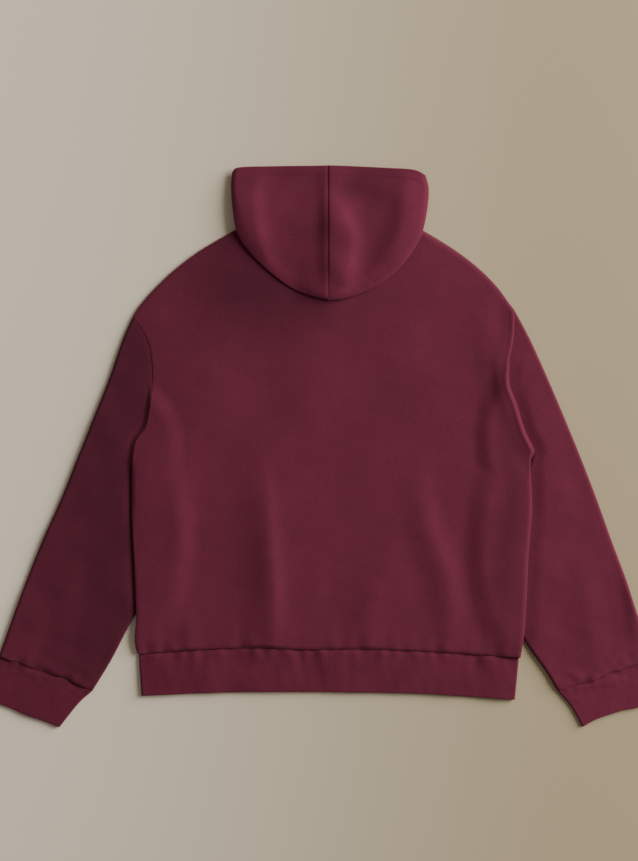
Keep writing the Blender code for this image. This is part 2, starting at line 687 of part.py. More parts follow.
def build_slider(collection):
    """Build the slider, its pull and the box at the zip's foot; return the pull's axis."""
    _, length, thick = SLIDER_SIZE
    window_floor = PULL_FLOOR + BRIDGE_THICK
    plate = window_floor + BRIDGE_WINDOW + thick / 2
    upper = plate + thick + SLIDER_CHANNEL
    slider = block("zip_slider", (0, SLIDER_Y, plate), SLIDER_SIZE, collection, SLIDER_BEVEL)
    top = block("top_plate", (0, SLIDER_Y, upper), SLIDER_SIZE, collection, SLIDER_BEVEL)
    post_y = SLIDER_Y + length / 2 - SLIDER_POST[1]
    post = rod("post", (0, post_y, (plate + upper) / 2), SLIDER_POST[0],
               SLIDER_CHANNEL + thick, "Z", collection)
    leg = Vector((BRIDGE_WIDTH, BRIDGE_LEG, BRIDGE_THICK + BRIDGE_WINDOW + thick * 0.6))
    leg_z = PULL_FLOOR + leg.z / 2
    ends = [SLIDER_Y - BRIDGE_LENGTH / 2 + leg.y / 2, SLIDER_Y + BRIDGE_LENGTH / 2 - leg.y / 2]
    legs = [block(f"leg_{k}", (0, y, leg_z), leg, collection) for k, y in enumerate(ends)]
    bar = block("bar", (0, SLIDER_Y, PULL_FLOOR + BRIDGE_THICK / 2),
                Vector((BRIDGE_WIDTH, BRIDGE_LENGTH, BRIDGE_THICK)), collection)
    fuse(slider, [top, post, *legs, bar])

    pin_z = window_floor + BRIDGE_WINDOW / 2
    axis = Vector((0, SLIDER_Y - PIN_OFFSET, pin_z))
    arm_x = PULL_SIZE.x / 2 - ARM_INSET
    pull_top = axis.y - PULL_DROP
    pull_z = PULL_FLOOR + PULL_SIZE.z / 2
    pull = block("zip_pull", (0, pull_top - PULL_SIZE.y / 2, pull_z), PULL_SIZE, collection,
                 PULL_BEVEL)
    pin = rod("pin", axis, PIN_RADIUS, 2 * arm_x, "X", collection)
    arms = []
    for side in (-1, 1):
        bm = bmesh.new()
        bmesh.ops.create_cube(bm, size=1.0)
        for vert in bm.verts:
            near = vert.co.y > 0
            y = axis.y + ARM_NEAR[0] if near else pull_top - ARM_FAR[0]
            z = pin_z if near else pull_z
            half = ARM_NEAR[1] if near else ARM_FAR[1]
            vert.co = (side * arm_x + vert.co.x * ARM_WIDTH, y,
                       z + math.copysign(half, vert.co.z))
        arms.append(finish_object(f"arm_{side}", bm, METAL, collection))
    fuse(pull, [pin, *arms])
    set_origin(pull, axis)

    box_centre = (0, ZIP_BOTTOM - SEAM_GAP - BOX_SIZE.y / 2, TAPE_MIDDLE)
    block("zip_box", box_centre, BOX_SIZE, collection, BOX_BEVEL)


def main():
    """Build the whole hoodie."""
    clear_scene()
    collection = bpy.data.collections.new("zip_up_hoodie")
    bpy.context.scene.collection.children.link(collection)
    build_body(collection)
    build_arms(collection)
    build_band(collection)
    build_hood(collection)
    build_tapes(collection)
    build_slider(collection)


main()
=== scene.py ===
"""Dress the zip-up hoodie: fleece panels, ribs, hood, stitches and zip, laid face down."""
import logging
import math
from collections.abc import Iterator
from contextlib import contextmanager
from dataclasses import dataclass, field
from enum import Enum
from typing import NamedTuple

import bmesh
import bpy
import numpy as np
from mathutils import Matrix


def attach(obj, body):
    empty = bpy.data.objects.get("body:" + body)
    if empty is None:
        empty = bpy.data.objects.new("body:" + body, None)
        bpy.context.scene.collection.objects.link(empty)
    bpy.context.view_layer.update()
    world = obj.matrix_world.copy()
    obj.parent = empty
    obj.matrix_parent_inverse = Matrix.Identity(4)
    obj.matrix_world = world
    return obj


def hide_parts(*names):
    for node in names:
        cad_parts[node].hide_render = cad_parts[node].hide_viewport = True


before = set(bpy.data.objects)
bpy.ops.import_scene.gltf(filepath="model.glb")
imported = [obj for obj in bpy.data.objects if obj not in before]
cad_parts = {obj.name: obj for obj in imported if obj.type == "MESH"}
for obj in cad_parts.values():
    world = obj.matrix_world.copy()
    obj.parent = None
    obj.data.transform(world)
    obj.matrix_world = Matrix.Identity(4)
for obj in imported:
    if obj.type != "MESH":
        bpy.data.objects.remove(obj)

LOG = logging.getLogger("hoodie")
MM = 0.001
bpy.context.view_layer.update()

# ---- the lie of the garment, in millimetres: x across it, y along it towards the hood --------

Path = tuple[tuple[float, float], ...]


class Side(Enum):
    """A wearer's side of the garment."""

    LEFT = -1
    RIGHT = 1

    @property
    def word(self) -> str:
        """Return the side's name as the nodes have it."""
        return self.name.lower()


class Oval(NamedTuple):
    """A soft oval place: its middle, its reach across and along, and what it adds there."""

    x: float
    y: float
    reach: float
    length: float
    amount: float = 1.0


class Crease(NamedTuple):
    """A soft ridge along a path: its left and right flank widths and its height."""

    path: Path
    left: float
    right: float
    height: float


class Wave(NamedTuple):
    """Soft uneven waves: height, size across, seed, and how fast they change along."""

    height: float
    size: float
    seed: int
    along: float = 1.0


class Fade(NamedTuple):
    """Something strongest at an edge: how much it is there, and how far in it lasts."""

    amount: float
    reach: float

    def at(self, distance: np.ndarray) -> np.ndarray:
        """Return how much of it there is at a distance from the edge."""
        return self.amount * np.exp(-distance / self.reach)


class Ridge(NamedTuple):
    """A soft ridge beside an edge: its height, its distance from the edge and its width."""

    height: float
    away: float
    width: float

    def at(self, distance: np.ndarray) -> np.ndarray:
        """Return its height at a distance from the edge."""
        return self.height * np.exp(-((distance - self.away) / self.width) ** 2)


def by_side(left: object, right: object) -> dict:
    """Make a dataclass field that holds a value for each side."""
    return field(default_factory=lambda: {Side.LEFT: left, Side.RIGHT: right})


@dataclass(frozen=True)
class Outline:
    """The seams and edges of one side of the garment, each from the neck or the armhole out."""

    shoulder: Path
    armhole: Path
    side_seam: Path
    outer: Path
    inner: Path
    cuff_seam: Path
    cuff_end: Path
    cuff_outer: Path
    cuff_inner: Path
    hood_edge: Path
    hood_side: Path
    hood_fold: Path


OUTLINES = {
    Side.LEFT: Outline(
        shoulder=((-105, 345), (-146, 322), (-192, 295), (-228, 268), (-257, 241), (-281, 214),
                  (-293, 196)),
        armhole=((-293, 196), (-271, 159), (-264, 114), (-266, 69), (-273, 31), (-289, 6),
                 (-294, -27)),
        side_seam=((-294, -27), (-294, -104), (-290, -192), (-288, -254), (-290, -290),
                   (-286.5, -311)),
        outer=((-293, 196), (-309, 160), (-330, 100), (-354, 40), (-378, -20), (-402, -80),
               (-429, -140), (-453, -200), (-470, -245), (-486, -290), (-495, -314)),
        inner=((-294, -27), (-281, -46), (-257, -78), (-238, -115), (-240, -160), (-262, -210),
               (-293, -258), (-326, -321), (-354, -367)),
        cuff_seam=((-495, -314), (-468, -324), (-440, -333), (-402, -346), (-354, -367)),
        cuff_end=((-510, -380), (-477, -392), (-455, -402), (-428, -411), (-403, -421)),
        cuff_outer=((-495, -314), (-505, -345), (-510, -380)),
        cuff_inner=((-354, -367), (-375, -386), (-403, -421)),
        hood_edge=((0, 422), (-40, 421.5), (-90, 421), (-134, 419), (-144, 412)),
        hood_side=((-144, 412), (-145.5, 390), (-143, 356), (-137.5, 324), (-127, 303)),
        hood_fold=((0, 220), (-25, 226), (-52, 237), (-80, 256), (-107, 280), (-127, 303)),
    ),
    Side.RIGHT: Outline(
        shoulder=((105, 345), (148, 322), (191.5, 295), (226.5, 268), (253.5, 241), (270.5, 218),
                  (280.5, 205)),
        armhole=((280.5, 205), (279, 165), (272, 126), (270, 94), (281, 63), (293, 24), (309, -9)),
        side_seam=((309, -9), (303.5, -24), (304.5, -50), (306, -96), (301, -161), (298, -225),
                   (294, -282), (289, -317)),
        outer=((280.5, 205), (304.5, 160), (331.5, 100), (357, 40), (381.5, -20), (404.5, -80),
               (426, -140), (448.5, -200), (463, -245), (479, -290), (489, -318)),
        inner=((309, -9), (297, -32), (272, -70), (246, -115), (244, -165), (264, -225),
               (295, -291), (326, -336), (344, -366)),
        cuff_seam=((489, -318), (465, -327), (420, -341), (386, -355), (344, -366)),
        cuff_end=((504, -378), (465, -391), (443, -395), (404, -408), (382, -420)),
        cuff_outer=((489, -318), (499, -345), (504, -378)),
        cuff_inner=((344, -366), (365, -390), (382, -420)),
        hood_edge=((0, 422), (40, 421), (90, 418.5), (129, 415.5), (147, 407)),
        hood_side=((147, 407), (151.5, 385), (148, 350), (140.5, 318), (129.5, 296)),
        hood_fold=((0, 219), (25, 222), (52, 231), (80, 246), (108, 269), (129.5, 296)),
    ),
}
HEM = ((-286.5, -311), (-135, -303), (-30, -305), (83, -305), (210, -312), (289, -317))
BAND_TOP = ((-284.5, -312), (-135, -303), (-30, -305), (83, -305), (210, -312), (287, -317))
BAND_BOTTOM = ((-280.5, -373), (-160, -368), (-45, -367), (50, -368), (146, -370), (281, -379))
NECK_HALF = 105.0     # from the centre line to the top of a shoulder seam
NECK_TOP = 345.0      # where the neck seams meet the shoulder seams
BACK_NECK = 322.0
FRONT_NECK = 259.0
FRONT_EDGE = 7.0      # from the centre line to a front's edge at the zip
SLIDER_Y = 248.0
SLIDER_RISE = 2.9     # how far the slider lifts the fronts off the floor
SLIDER_BUMP = (55.0, 60.0)   # how far that lift reaches, across and along
SLEEVE_FLAT = 6.0     # a sleeve's height where the body lies on it
RIB_PITCH = 3.2
RIB_DEPTH = 0.06
SLEEVES_BELOW = (Oval(-294, -142, 66, 132), Oval(-292, 0, 52, 70), Oval(306, -150, 70, 145),
                 Oval(300, 12, 56, 86))
OVAL_FALL = 0.5       # how far past such an oval the body comes back down, as a share of it
WAVES_SUMMED = 14     # how many plain waves make up an uneven run of them
TURN_STEPS = 6        # how many rows of faces carry a rib round its turned hem
NECK_SWELL = Oval(0, 330, 150, 120, 5.0)   # the back bulges over the folded hood's seam


def line_of(spots: Path, steps: int) -> np.ndarray:
    """Sample a smooth line through spots, evenly along its length.

    Args:
        spots: the places it passes through, in millimetres.
        steps: how many equal steps to cut it into.

    Returns:
        steps + 1 points, in millimetres.
    """
    given = np.array(spots, float)
    ends = np.vstack([2 * given[0] - given[1], given, 2 * given[-1] - given[-2]])
    t = np.linspace(0, 1, 40, endpoint=False)[:, None]
    runs = []
    for a, b, c, d in zip(ends[:-3], ends[1:-2], ends[2:-1], ends[3:]):
        runs.append(0.5 * (2 * b + (c - a) * t + (2 * a - 5 * b + 4 * c - d) * t ** 2
                           + (3 * b - a - 3 * c + d) * t ** 3))
    fine = np.vstack([*runs, given[-1:]])
    return at_shares(fine, np.linspace(0, 1, steps + 1))


def at_shares(line: np.ndarray, shares: np.ndarray) -> np.ndarray:
    """Return the points at given shares of a line's length.

    Args:
        line: the points of the line.
        shares: how far along it each wanted point is, from 0 to 1.

    Returns:
        One point for each share.
    """
    run = np.concatenate([[0], np.cumsum(np.linalg.norm(np.diff(line, axis=0), axis=1))])
    want = np.asarray(shares) * run[-1]
    return np.column_stack([np.interp(want, run, line[:, k]) for k in range(line.shape[1])])


def shares_of(line: np.ndarray) -> np.ndarray:
    """Return how far along its own length each point of a line is, from 0 to 1."""
    run = np.concatenate([[0], np.cumsum(np.linalg.norm(np.diff(line, axis=0), axis=1))])
    return run / run[-1]


def close_at_ends(steps: int, strength: float) -> np.ndarray:
    """Return shares from 0 to 1 that lie closer together near both ends."""
    t = np.linspace(0, 1, steps + 1)
    return (1 - strength) * t + strength * t * t * (3 - 2 * t)


def filled(top: np.ndarray, bottom: np.ndarray, left: np.ndarray,
           right: np.ndarray) -> np.ndarray:
    """Fill four edge lines with a grid of points.

    Args:
        top: the first row; bottom: the last row, with as many points.
        left: the first column; right: the last column, with as many points.

    Returns:
        An array of rows, columns and x, y.
    """
    u = ((shares_of(top) + shares_of(bottom)) / 2)[None, :, None]
    v = ((shares_of(left) + shares_of(right)) / 2)[:, None, None]
    between_sides = (1 - u) * left[:, None] + u * right[:, None]
    between_ends = (1 - v) * top[None] + v * bottom[None]
    corners = ((1 - u) * (1 - v) * top[0] + u * (1 - v) * top[-1]
               + (1 - u) * v * bottom[0] + u * v * bottom[-1])
    return between_sides + between_ends - corners


def eased(value: np.ndarray) -> np.ndarray:
    """Ease from 0 to 1 as the value goes from 0 to 1."""
    value = np.clip(value, 0, 1)
    return value * value * (3 - 2 * value)


def rolled(distance: np.ndarray, radius: float) -> np.ndarray:
    """Return 0 on an edge and 1 past a radius from it, along a quarter circle."""
    t = np.clip(distance / radius, 0, 1)
    return np.sqrt(1 - (1 - t) ** 2)


def distance_to(points: np.ndarray, line: np.ndarray) -> np.ndarray:
    """Return each point's distance to a line, in millimetres.

    Args:
        points: places as x, y, in any number of rows and columns.
        line: the points of the line.

    Returns:
        A distance for each place.
    """
    flat = points.reshape(-1, 2)
    best = np.full(len(flat), np.inf)
    for a, b in zip(line[:-1], line[1:]):
        along = b - a
        t = np.clip((flat - a) @ along / max(along @ along, 1e-12), 0, 1)
        best = np.minimum(best, np.linalg.norm(flat - a - t[:, None] * along, axis=1))
    return best.reshape(points.shape[:-1])


def signed_reach(points: np.ndarray,
                 line: np.ndarray) -> tuple[np.ndarray, np.ndarray, np.ndarray]:
    """Measure each point against a line.

    Args:
        points: places as x, y, in any number of rows and columns.
        line: the points of the line.

    Returns:
        Its distance, positive on the line's right; its share of the line's length; and which
        side it is on, from -1 to 1, turning over smoothly past the line's ends.
    """
    flat = points.reshape(-1, 2)
    best = np.full(len(flat), np.inf)
    lean = np.ones(len(flat))
    share = np.zeros(len(flat))
    run = shares_of(line)
    for k, (a, b) in enumerate(zip(line[:-1], line[1:])):
        along = b - a
        t = np.clip((flat - a) @ along / max(along @ along, 1e-12), 0, 1)
        away = flat - a - t[:, None] * along
        length = np.linalg.norm(away, axis=1)
        nearer = length < best
        best = np.where(nearer, length, best)
        cross = along[1] * away[:, 0] - along[0] * away[:, 1]
        sine = cross / np.maximum(length * np.linalg.norm(along), 1e-9)
        lean = np.where(nearer, np.clip(sine, -1, 1), lean)
        share = np.where(nearer, run[k] + t * (run[k + 1] - run[k]), share)
    shape = points.shape[:-1]
    side = np.where(lean >= 0, 1.0, -1.0)
    return (best * side).reshape(shape), share.reshape(shape), lean.reshape(shape)


def waviness(x: np.ndarray, y: np.ndarray, size: float, seed: int) -> np.ndarray:
    """Return soft uneven waves of about unit height and a given size across, in millimetres.

    Args:
        x, y: the places, in millimetres.
        size: how far apart the waves are, in millimetres.
        seed: which run of waves it is.

    Returns:
        A height for each place.
    """
    rng = np.random.default_rng(seed)
    total = np.zeros_like(x, dtype=float)
    for _ in range(WAVES_SUMMED):
        angle = rng.uniform(0, math.tau)
        turn = math.tau / (size * rng.uniform(0.7, 1.6))
        total += np.cos(turn * (x * math.cos(angle) + y * math.sin(angle))
                        + rng.uniform(0, math.tau))
    return total / math.sqrt(WAVES_SUMMED / 2)


def wavy(points: np.ndarray, waves: tuple[Wave, ...]) -> np.ndarray:
    """Return what several runs of waves add up to at each point."""
    return sum(wave.height * waviness(points[..., 0], points[..., 1] * wave.along, wave.size,
                                      wave.seed) for wave in waves)


def lifted(points: np.ndarray) -> np.ndarray:
    """Return 0 to 1: how fully a sleeve under the body lifts it at each point.

    Args:
        points: places as x, y, in millimetres.

    Returns:
        A share for each place.
    """
    lift = np.zeros(points.shape[:-1])
    for oval in SLEEVES_BELOW:
        reach = np.hypot((points[..., 0] - oval.x) / oval.reach,
                         (points[..., 1] - oval.y) / oval.length)
        lift = np.maximum(lift, 1 - eased((reach - 1) / OVAL_FALL))
    return lift


def over_slider(points: np.ndarray) -> np.ndarray:
    """Return 0 to 1: the soft bump over the zip's slider.

    Args:
        points: places as x, y, in millimetres.

    Returns:
        A share for each place.
    """
    across, along = SLIDER_BUMP
    reach = np.hypot(points[..., 0] / across, (points[..., 1] - SLIDER_Y) / along)
    return 1 - eased((reach - 0.3) / 0.7)


def swollen(points: np.ndarray, ovals: tuple[Oval, ...]) -> np.ndarray:
    """Return what soft ovals add up to at each point.

    Args:
        points: places as x, y, in millimetres.
        ovals: the ovals to add up.

    Returns:
        A sum for each place.
    """
    total = np.zeros(points.shape[:-1])
    for oval in ovals:
        total += oval.amount * np.exp(-((points[..., 0] - oval.x) / oval.reach) ** 2
                                      - ((points[..., 1] - oval.y) / oval.length) ** 2)
    return total


def creased(points: np.ndarray, creases: tuple[Crease, ...]) -> np.ndarray:
    """Return the summed height of soft creases at each point, in millimetres.

    Args:
        points: places as x, y, in millimetres.
        creases: the creases to add up.

    Returns:
        A height for each place.
    """
    total = np.zeros(points.shape[:-1])
    for crease in creases:
        path = line_of(crease.path, 24)
        reach, share, lean = signed_reach(points, path)
        width = (crease.left + crease.right + (crease.right - crease.left) * lean) / 2
        swell = np.sin(math.pi * np.clip(0.06 + 0.88 * share, 0, 1)) ** 0.8
        total += crease.height * swell * np.exp(-(reach / width) ** 2)
    return total


def neck_along(x: np.ndarray, lowest: float) -> np.ndarray:
    """Return how far along a neck seam is at each distance across."""
    return lowest + (NECK_TOP - lowest) * (np.abs(x) / NECK_HALF) ** 2


def body_rise(points: np.ndarray) -> np.ndarray:
    """Return the height of the fronts' outer face above the floor, in millimetres."""
    return SLEEVE_FLAT * lifted(points) + SLIDER_RISE * over_slider(points)


# ---- mesh and node helpers ------------------------------------------------------------------


def skin(name: str, points: np.ndarray, wrap: bool = False, flip: bool = False,
         **values: np.ndarray) -> bpy.types.Object:
    """Make a smooth surface from a grid of points.

    Args:
        name: the piece's name.
        points: rows, columns and x, y, z, in millimetres.
        wrap: join the last column to the first.
        flip: turn the faces the other way.
        values: a float for each point of the grid, kept as an attribute of that name.

    Returns:
        The new object, in the scene.
    """
    rows, columns = points.shape[:2]
    index = np.arange(rows * columns).reshape(rows, columns)
    following = np.roll(index, -1, axis=1) if wrap else index[:, 1:]
    current = index if wrap else index[:, :-1]
    faces = np.stack([current[:-1], current[1:], following[1:], following[:-1]],
                     axis=-1).reshape(-1, 4)
    if flip:
        faces = faces[:, ::-1]
    mesh = bpy.data.meshes.new(name)
    mesh.from_pydata((points.reshape(-1, 3) * MM).tolist(), [], faces.tolist())
    for key, value in values.items():
        layer = mesh.attributes.new(key, "FLOAT", "POINT")
        layer.data.foreach_set("value", np.ascontiguousarray(value, dtype=np.float32).ravel())
    mesh.shade_smooth()
    made = bpy.data.objects.new(name, mesh)
    bpy.context.scene.collection.objects.link(made)
    return made


def path_object(name: str, points: np.ndarray) -> bpy.types.Object:
    """Make an open run of edges through points given in millimetres.

    Args:
        name: the object's name.
        points: x, y, z of each point in order.

    Returns:
        The new object, in the scene.
    """
    mesh = bpy.data.meshes.new(name)
    edges = [(k, k + 1) for k in range(len(points) - 1)]
    mesh.from_pydata((points * MM).tolist(), edges, [])
    made = bpy.data.objects.new(name, mesh)
    bpy.context.scene.collection.objects.link(made)
    return made


@contextmanager
def edited(piece: bpy.types.Object) -> Iterator[bmesh.types.BMesh]:
    """Open a piece's mesh for editing, and write it back afterwards.

    Args:
        piece: the object whose mesh it is.

    Yields:
        The open mesh.
    """
    bm = bmesh.new()
    bm.from_mesh(piece.data)
    bm.faces.ensure_lookup_table()
    yield bm
    bm.to_mesh(piece.data)
    bm.free()


def closed_up(bm: bmesh.types.BMesh, reach: float) -> None:
    """Weld a mesh's points within a reach in millimetres, and make its faces agree.

    Args:
        bm: the open mesh.
        reach: how close two points are welded, in millimetres.
    """
    bmesh.ops.remove_doubles(bm, verts=bm.verts, dist=reach * MM)
    bmesh.ops.recalc_face_normals(bm, faces=bm.faces)
    for face in bm.faces:
        face.smooth = True


def walled(piece: bpy.types.Object, wall: float) -> None:
    """Give a sheet its thickness in millimetres, behind its face.

    Args:
        piece: the sheet.
        wall: its thickness.
    """
    step = piece.modifiers.new("wall", "SOLIDIFY")
    step.thickness = wall * MM
    step.offset = -1.0
    step.use_even_offset = False


def dressed(piece: bpy.types.Object, material: bpy.types.Material,
            nodes: tuple[str, ...] = ()) -> bpy.types.Object:
    """Give a piece its material, hide the CAD nodes it stands for, and attach it to what it rides
    on.

    Args:
        piece: the piece.
        material: its finish.
        nodes: the CAD nodes it replaces.

    Returns:
        The same piece.
    """
    if piece.data.materials:
        piece.data.materials[0] = material
    else:
        piece.data.materials.append(material)
    if nodes:
        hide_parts(*nodes)
    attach(piece, "garment")
    LOG.info("%s: %d faces", piece.name, len(piece.data.polygons))
    return piece


def linear(code: str) -> tuple[float, float, float, float]:
    """Turn an sRGB hex colour into linear RGBA.

    Args:
        code: a hash and six hex digits.

    Returns:
        Red, green, blue and alpha.
    """
    parts = [int(code[k:k + 2], 16) / 255 for k in (1, 3, 5)]
    light = [p / 12.92 if p <= 0.04045 else ((p + 0.055) / 1.055) ** 2.4 for p in parts]
    return (*light, 1.0)


def add(tree: bpy.types.NodeTree, kind: str, inputs: dict | None = None,
        **settings: object) -> bpy.types.Node:
    """Add a node with its settings and its inputs.

    Args:
        tree: the tree it goes into.
        kind: the node's type.
        inputs: a value, or a socket to link from, for each input by name or number.
        settings: the node's own properties.

    Returns:
        The new node.
    """
    made = tree.nodes.new(kind)
    for key, value in settings.items():
        setattr(made, key, value)
    for key, value in (inputs or {}).items():
        if isinstance(value, bpy.types.NodeSocket):
            tree.links.new(value, made.inputs[key])
        else:
            made.inputs[key].default_value = value
    return made


def new_material(name: str) -> tuple[bpy.types.Material, bpy.types.NodeTree,
                                    bpy.types.Node]:
    """Start a material.

    Args:
        name: the material's name.

    Returns:
        The material, its node tree and its main shader.
    """
    made = bpy.data.materials.new(name)
    made.use_nodes = True
    return made, made.node_tree, made.node_tree.nodes["Principled BSDF"]


def new_tree(name: str, **sockets: str) -> tuple[bpy.types.NodeTree, bpy.types.Node,
                                                 bpy.types.Node]:
    """Start a Geometry Nodes tree with a geometry in and out and other named inputs.

    Args:
        name: the tree's name.
        sockets: the kind of each further input.

    Returns:
        The tree, its group input and its group output.
    """
    tree = bpy.data.node_groups.new(name, "GeometryNodeTree")
    tree.interface.new_socket(name="Geometry", in_out="INPUT", socket_type="NodeSocketGeometry")
    for label, kind in sockets.items():
        tree.interface.new_socket(name=label, in_out="INPUT", socket_type="NodeSocket" + kind)
    tree.interface.new_socket(name="Geometry", in_out="OUTPUT", socket_type="NodeSocketGeometry")
    return tree, add(tree, "NodeGroupInput"), add(tree, "NodeGroupOutput")


def grown(piece: bpy.types.Object, tree: bpy.types.NodeTree, **inputs: object) -> None:
    """Run a Geometry Nodes tree on a piece and keep the result as its plain mesh.

    Args:
        piece: the object it runs on.
        tree: the tree.
        inputs: a value for each of the tree's named inputs.
    """
    step = piece.modifiers.new(tree.name, "NODES")
    step.node_group = tree
    for item in tree.interface.items_tree:
        if item.item_type == "SOCKET" and item.in_out == "INPUT" and item.name in inputs:
            step[item.identifier] = inputs[item.name]
    bpy.context.view_layer.update()
    graph = bpy.context.evaluated_depsgraph_get()
    made = bpy.data.meshes.new_from_object(piece.evaluated_get(graph), depsgraph=graph)
    piece.modifiers.remove(step)
    piece.data = made


def rib_tree() -> bpy.types.NodeTree:
    """Build the tree that raises the wales of a rib knit along its own normals.

    Returns:
        The tree, with inputs for the wales' pitch and depth.
    """
    tree, given, out = new_tree("rib_wales", pitch="Float", depth="Float", cloth="Material")
    height = add(tree, "GeometryNodeInputNamedAttribute", {"Name": "around"},
                 data_type="FLOAT").outputs[0]
    for operation, other in (("DIVIDE", given.outputs["pitch"]), ("MULTIPLY", math.tau),
                             ("SINE", 0.0), ("MULTIPLY", given.outputs["depth"])):
        height = add(tree, "ShaderNodeMath", {0: height, 1: other},
                     operation=operation).outputs[0]
    normal = add(tree, "GeometryNodeInputNormal")
    push = add(tree, "ShaderNodeVectorMath", {0: normal.outputs[0], "Scale": height},
               operation="SCALE")
    moved = add(tree, "GeometryNodeSetPosition", {"Geometry": given.outputs["Geometry"],
                                                  "Offset": push.outputs[0]})
    whole = add(tree, "GeometryNodeRealizeInstances", {"Geometry": moved.outputs[0]})
    cloth = add(tree, "GeometryNodeSetMaterial", {"Geometry": whole.outputs[0],
                                                  "Material": given.outputs["cloth"]})
    tree.links.new(cloth.outputs[0], out.inputs[0])
    return tree


def row_tree(name: str, tooth: bool) -> bpy.types.NodeTree:
    """Build the tree that sets small pieces along a path: zip teeth, or stitches.

    Args:
        name: the tree's name.
        tooth: True for square-cut teeth, False for rounded stitches.

    Returns:
        The tree, with inputs for the spacing and the size of each small piece.
    """
    tree, given, out = new_tree(name, spacing="Float", size="Vector", stuff="Material")
    path = add(tree, "GeometryNodeMeshToCurve", {0: given.outputs["Geometry"]})
    spots = add(tree, "GeometryNodeResampleCurve", {"Curve": path.outputs[0],
                                                    "Length": given.outputs["spacing"]},
                mode="LENGTH")
    if tooth:
        form = add(tree, "GeometryNodeMeshCube", {"Size": (1.0, 1.0, 1.0)})
    else:
        form = add(tree, "GeometryNodeMeshIcoSphere", {"Radius": 0.5, "Subdivisions": 1})
    tangent = add(tree, "GeometryNodeInputTangent")
    turn = add(tree, "FunctionNodeAlignRotationToVector", {"Vector": tangent.outputs[0]},
               axis="X", pivot_axis="Z")
    row = add(tree, "GeometryNodeInstanceOnPoints",
              {"Points": spots.outputs[0], "Instance": form.outputs[0],
               "Rotation": turn.outputs[0], "Scale": given.outputs["size"]})
    whole = add(tree, "GeometryNodeRealizeInstances", {"Geometry": row.outputs[0]})
    smooth = add(tree, "GeometryNodeSetShadeSmooth", {"Geometry": whole.outputs[0],
                                                      "Shade Smooth": not tooth})
    stuff = add(tree, "GeometryNodeSetMaterial", {"Geometry": smooth.outputs[0],
                                                  "Material": given.outputs["stuff"]})
    tree.links.new(stuff.outputs[0], out.inputs[0])
    return tree


# ---- finishes -------------------------------------------------------------------------------


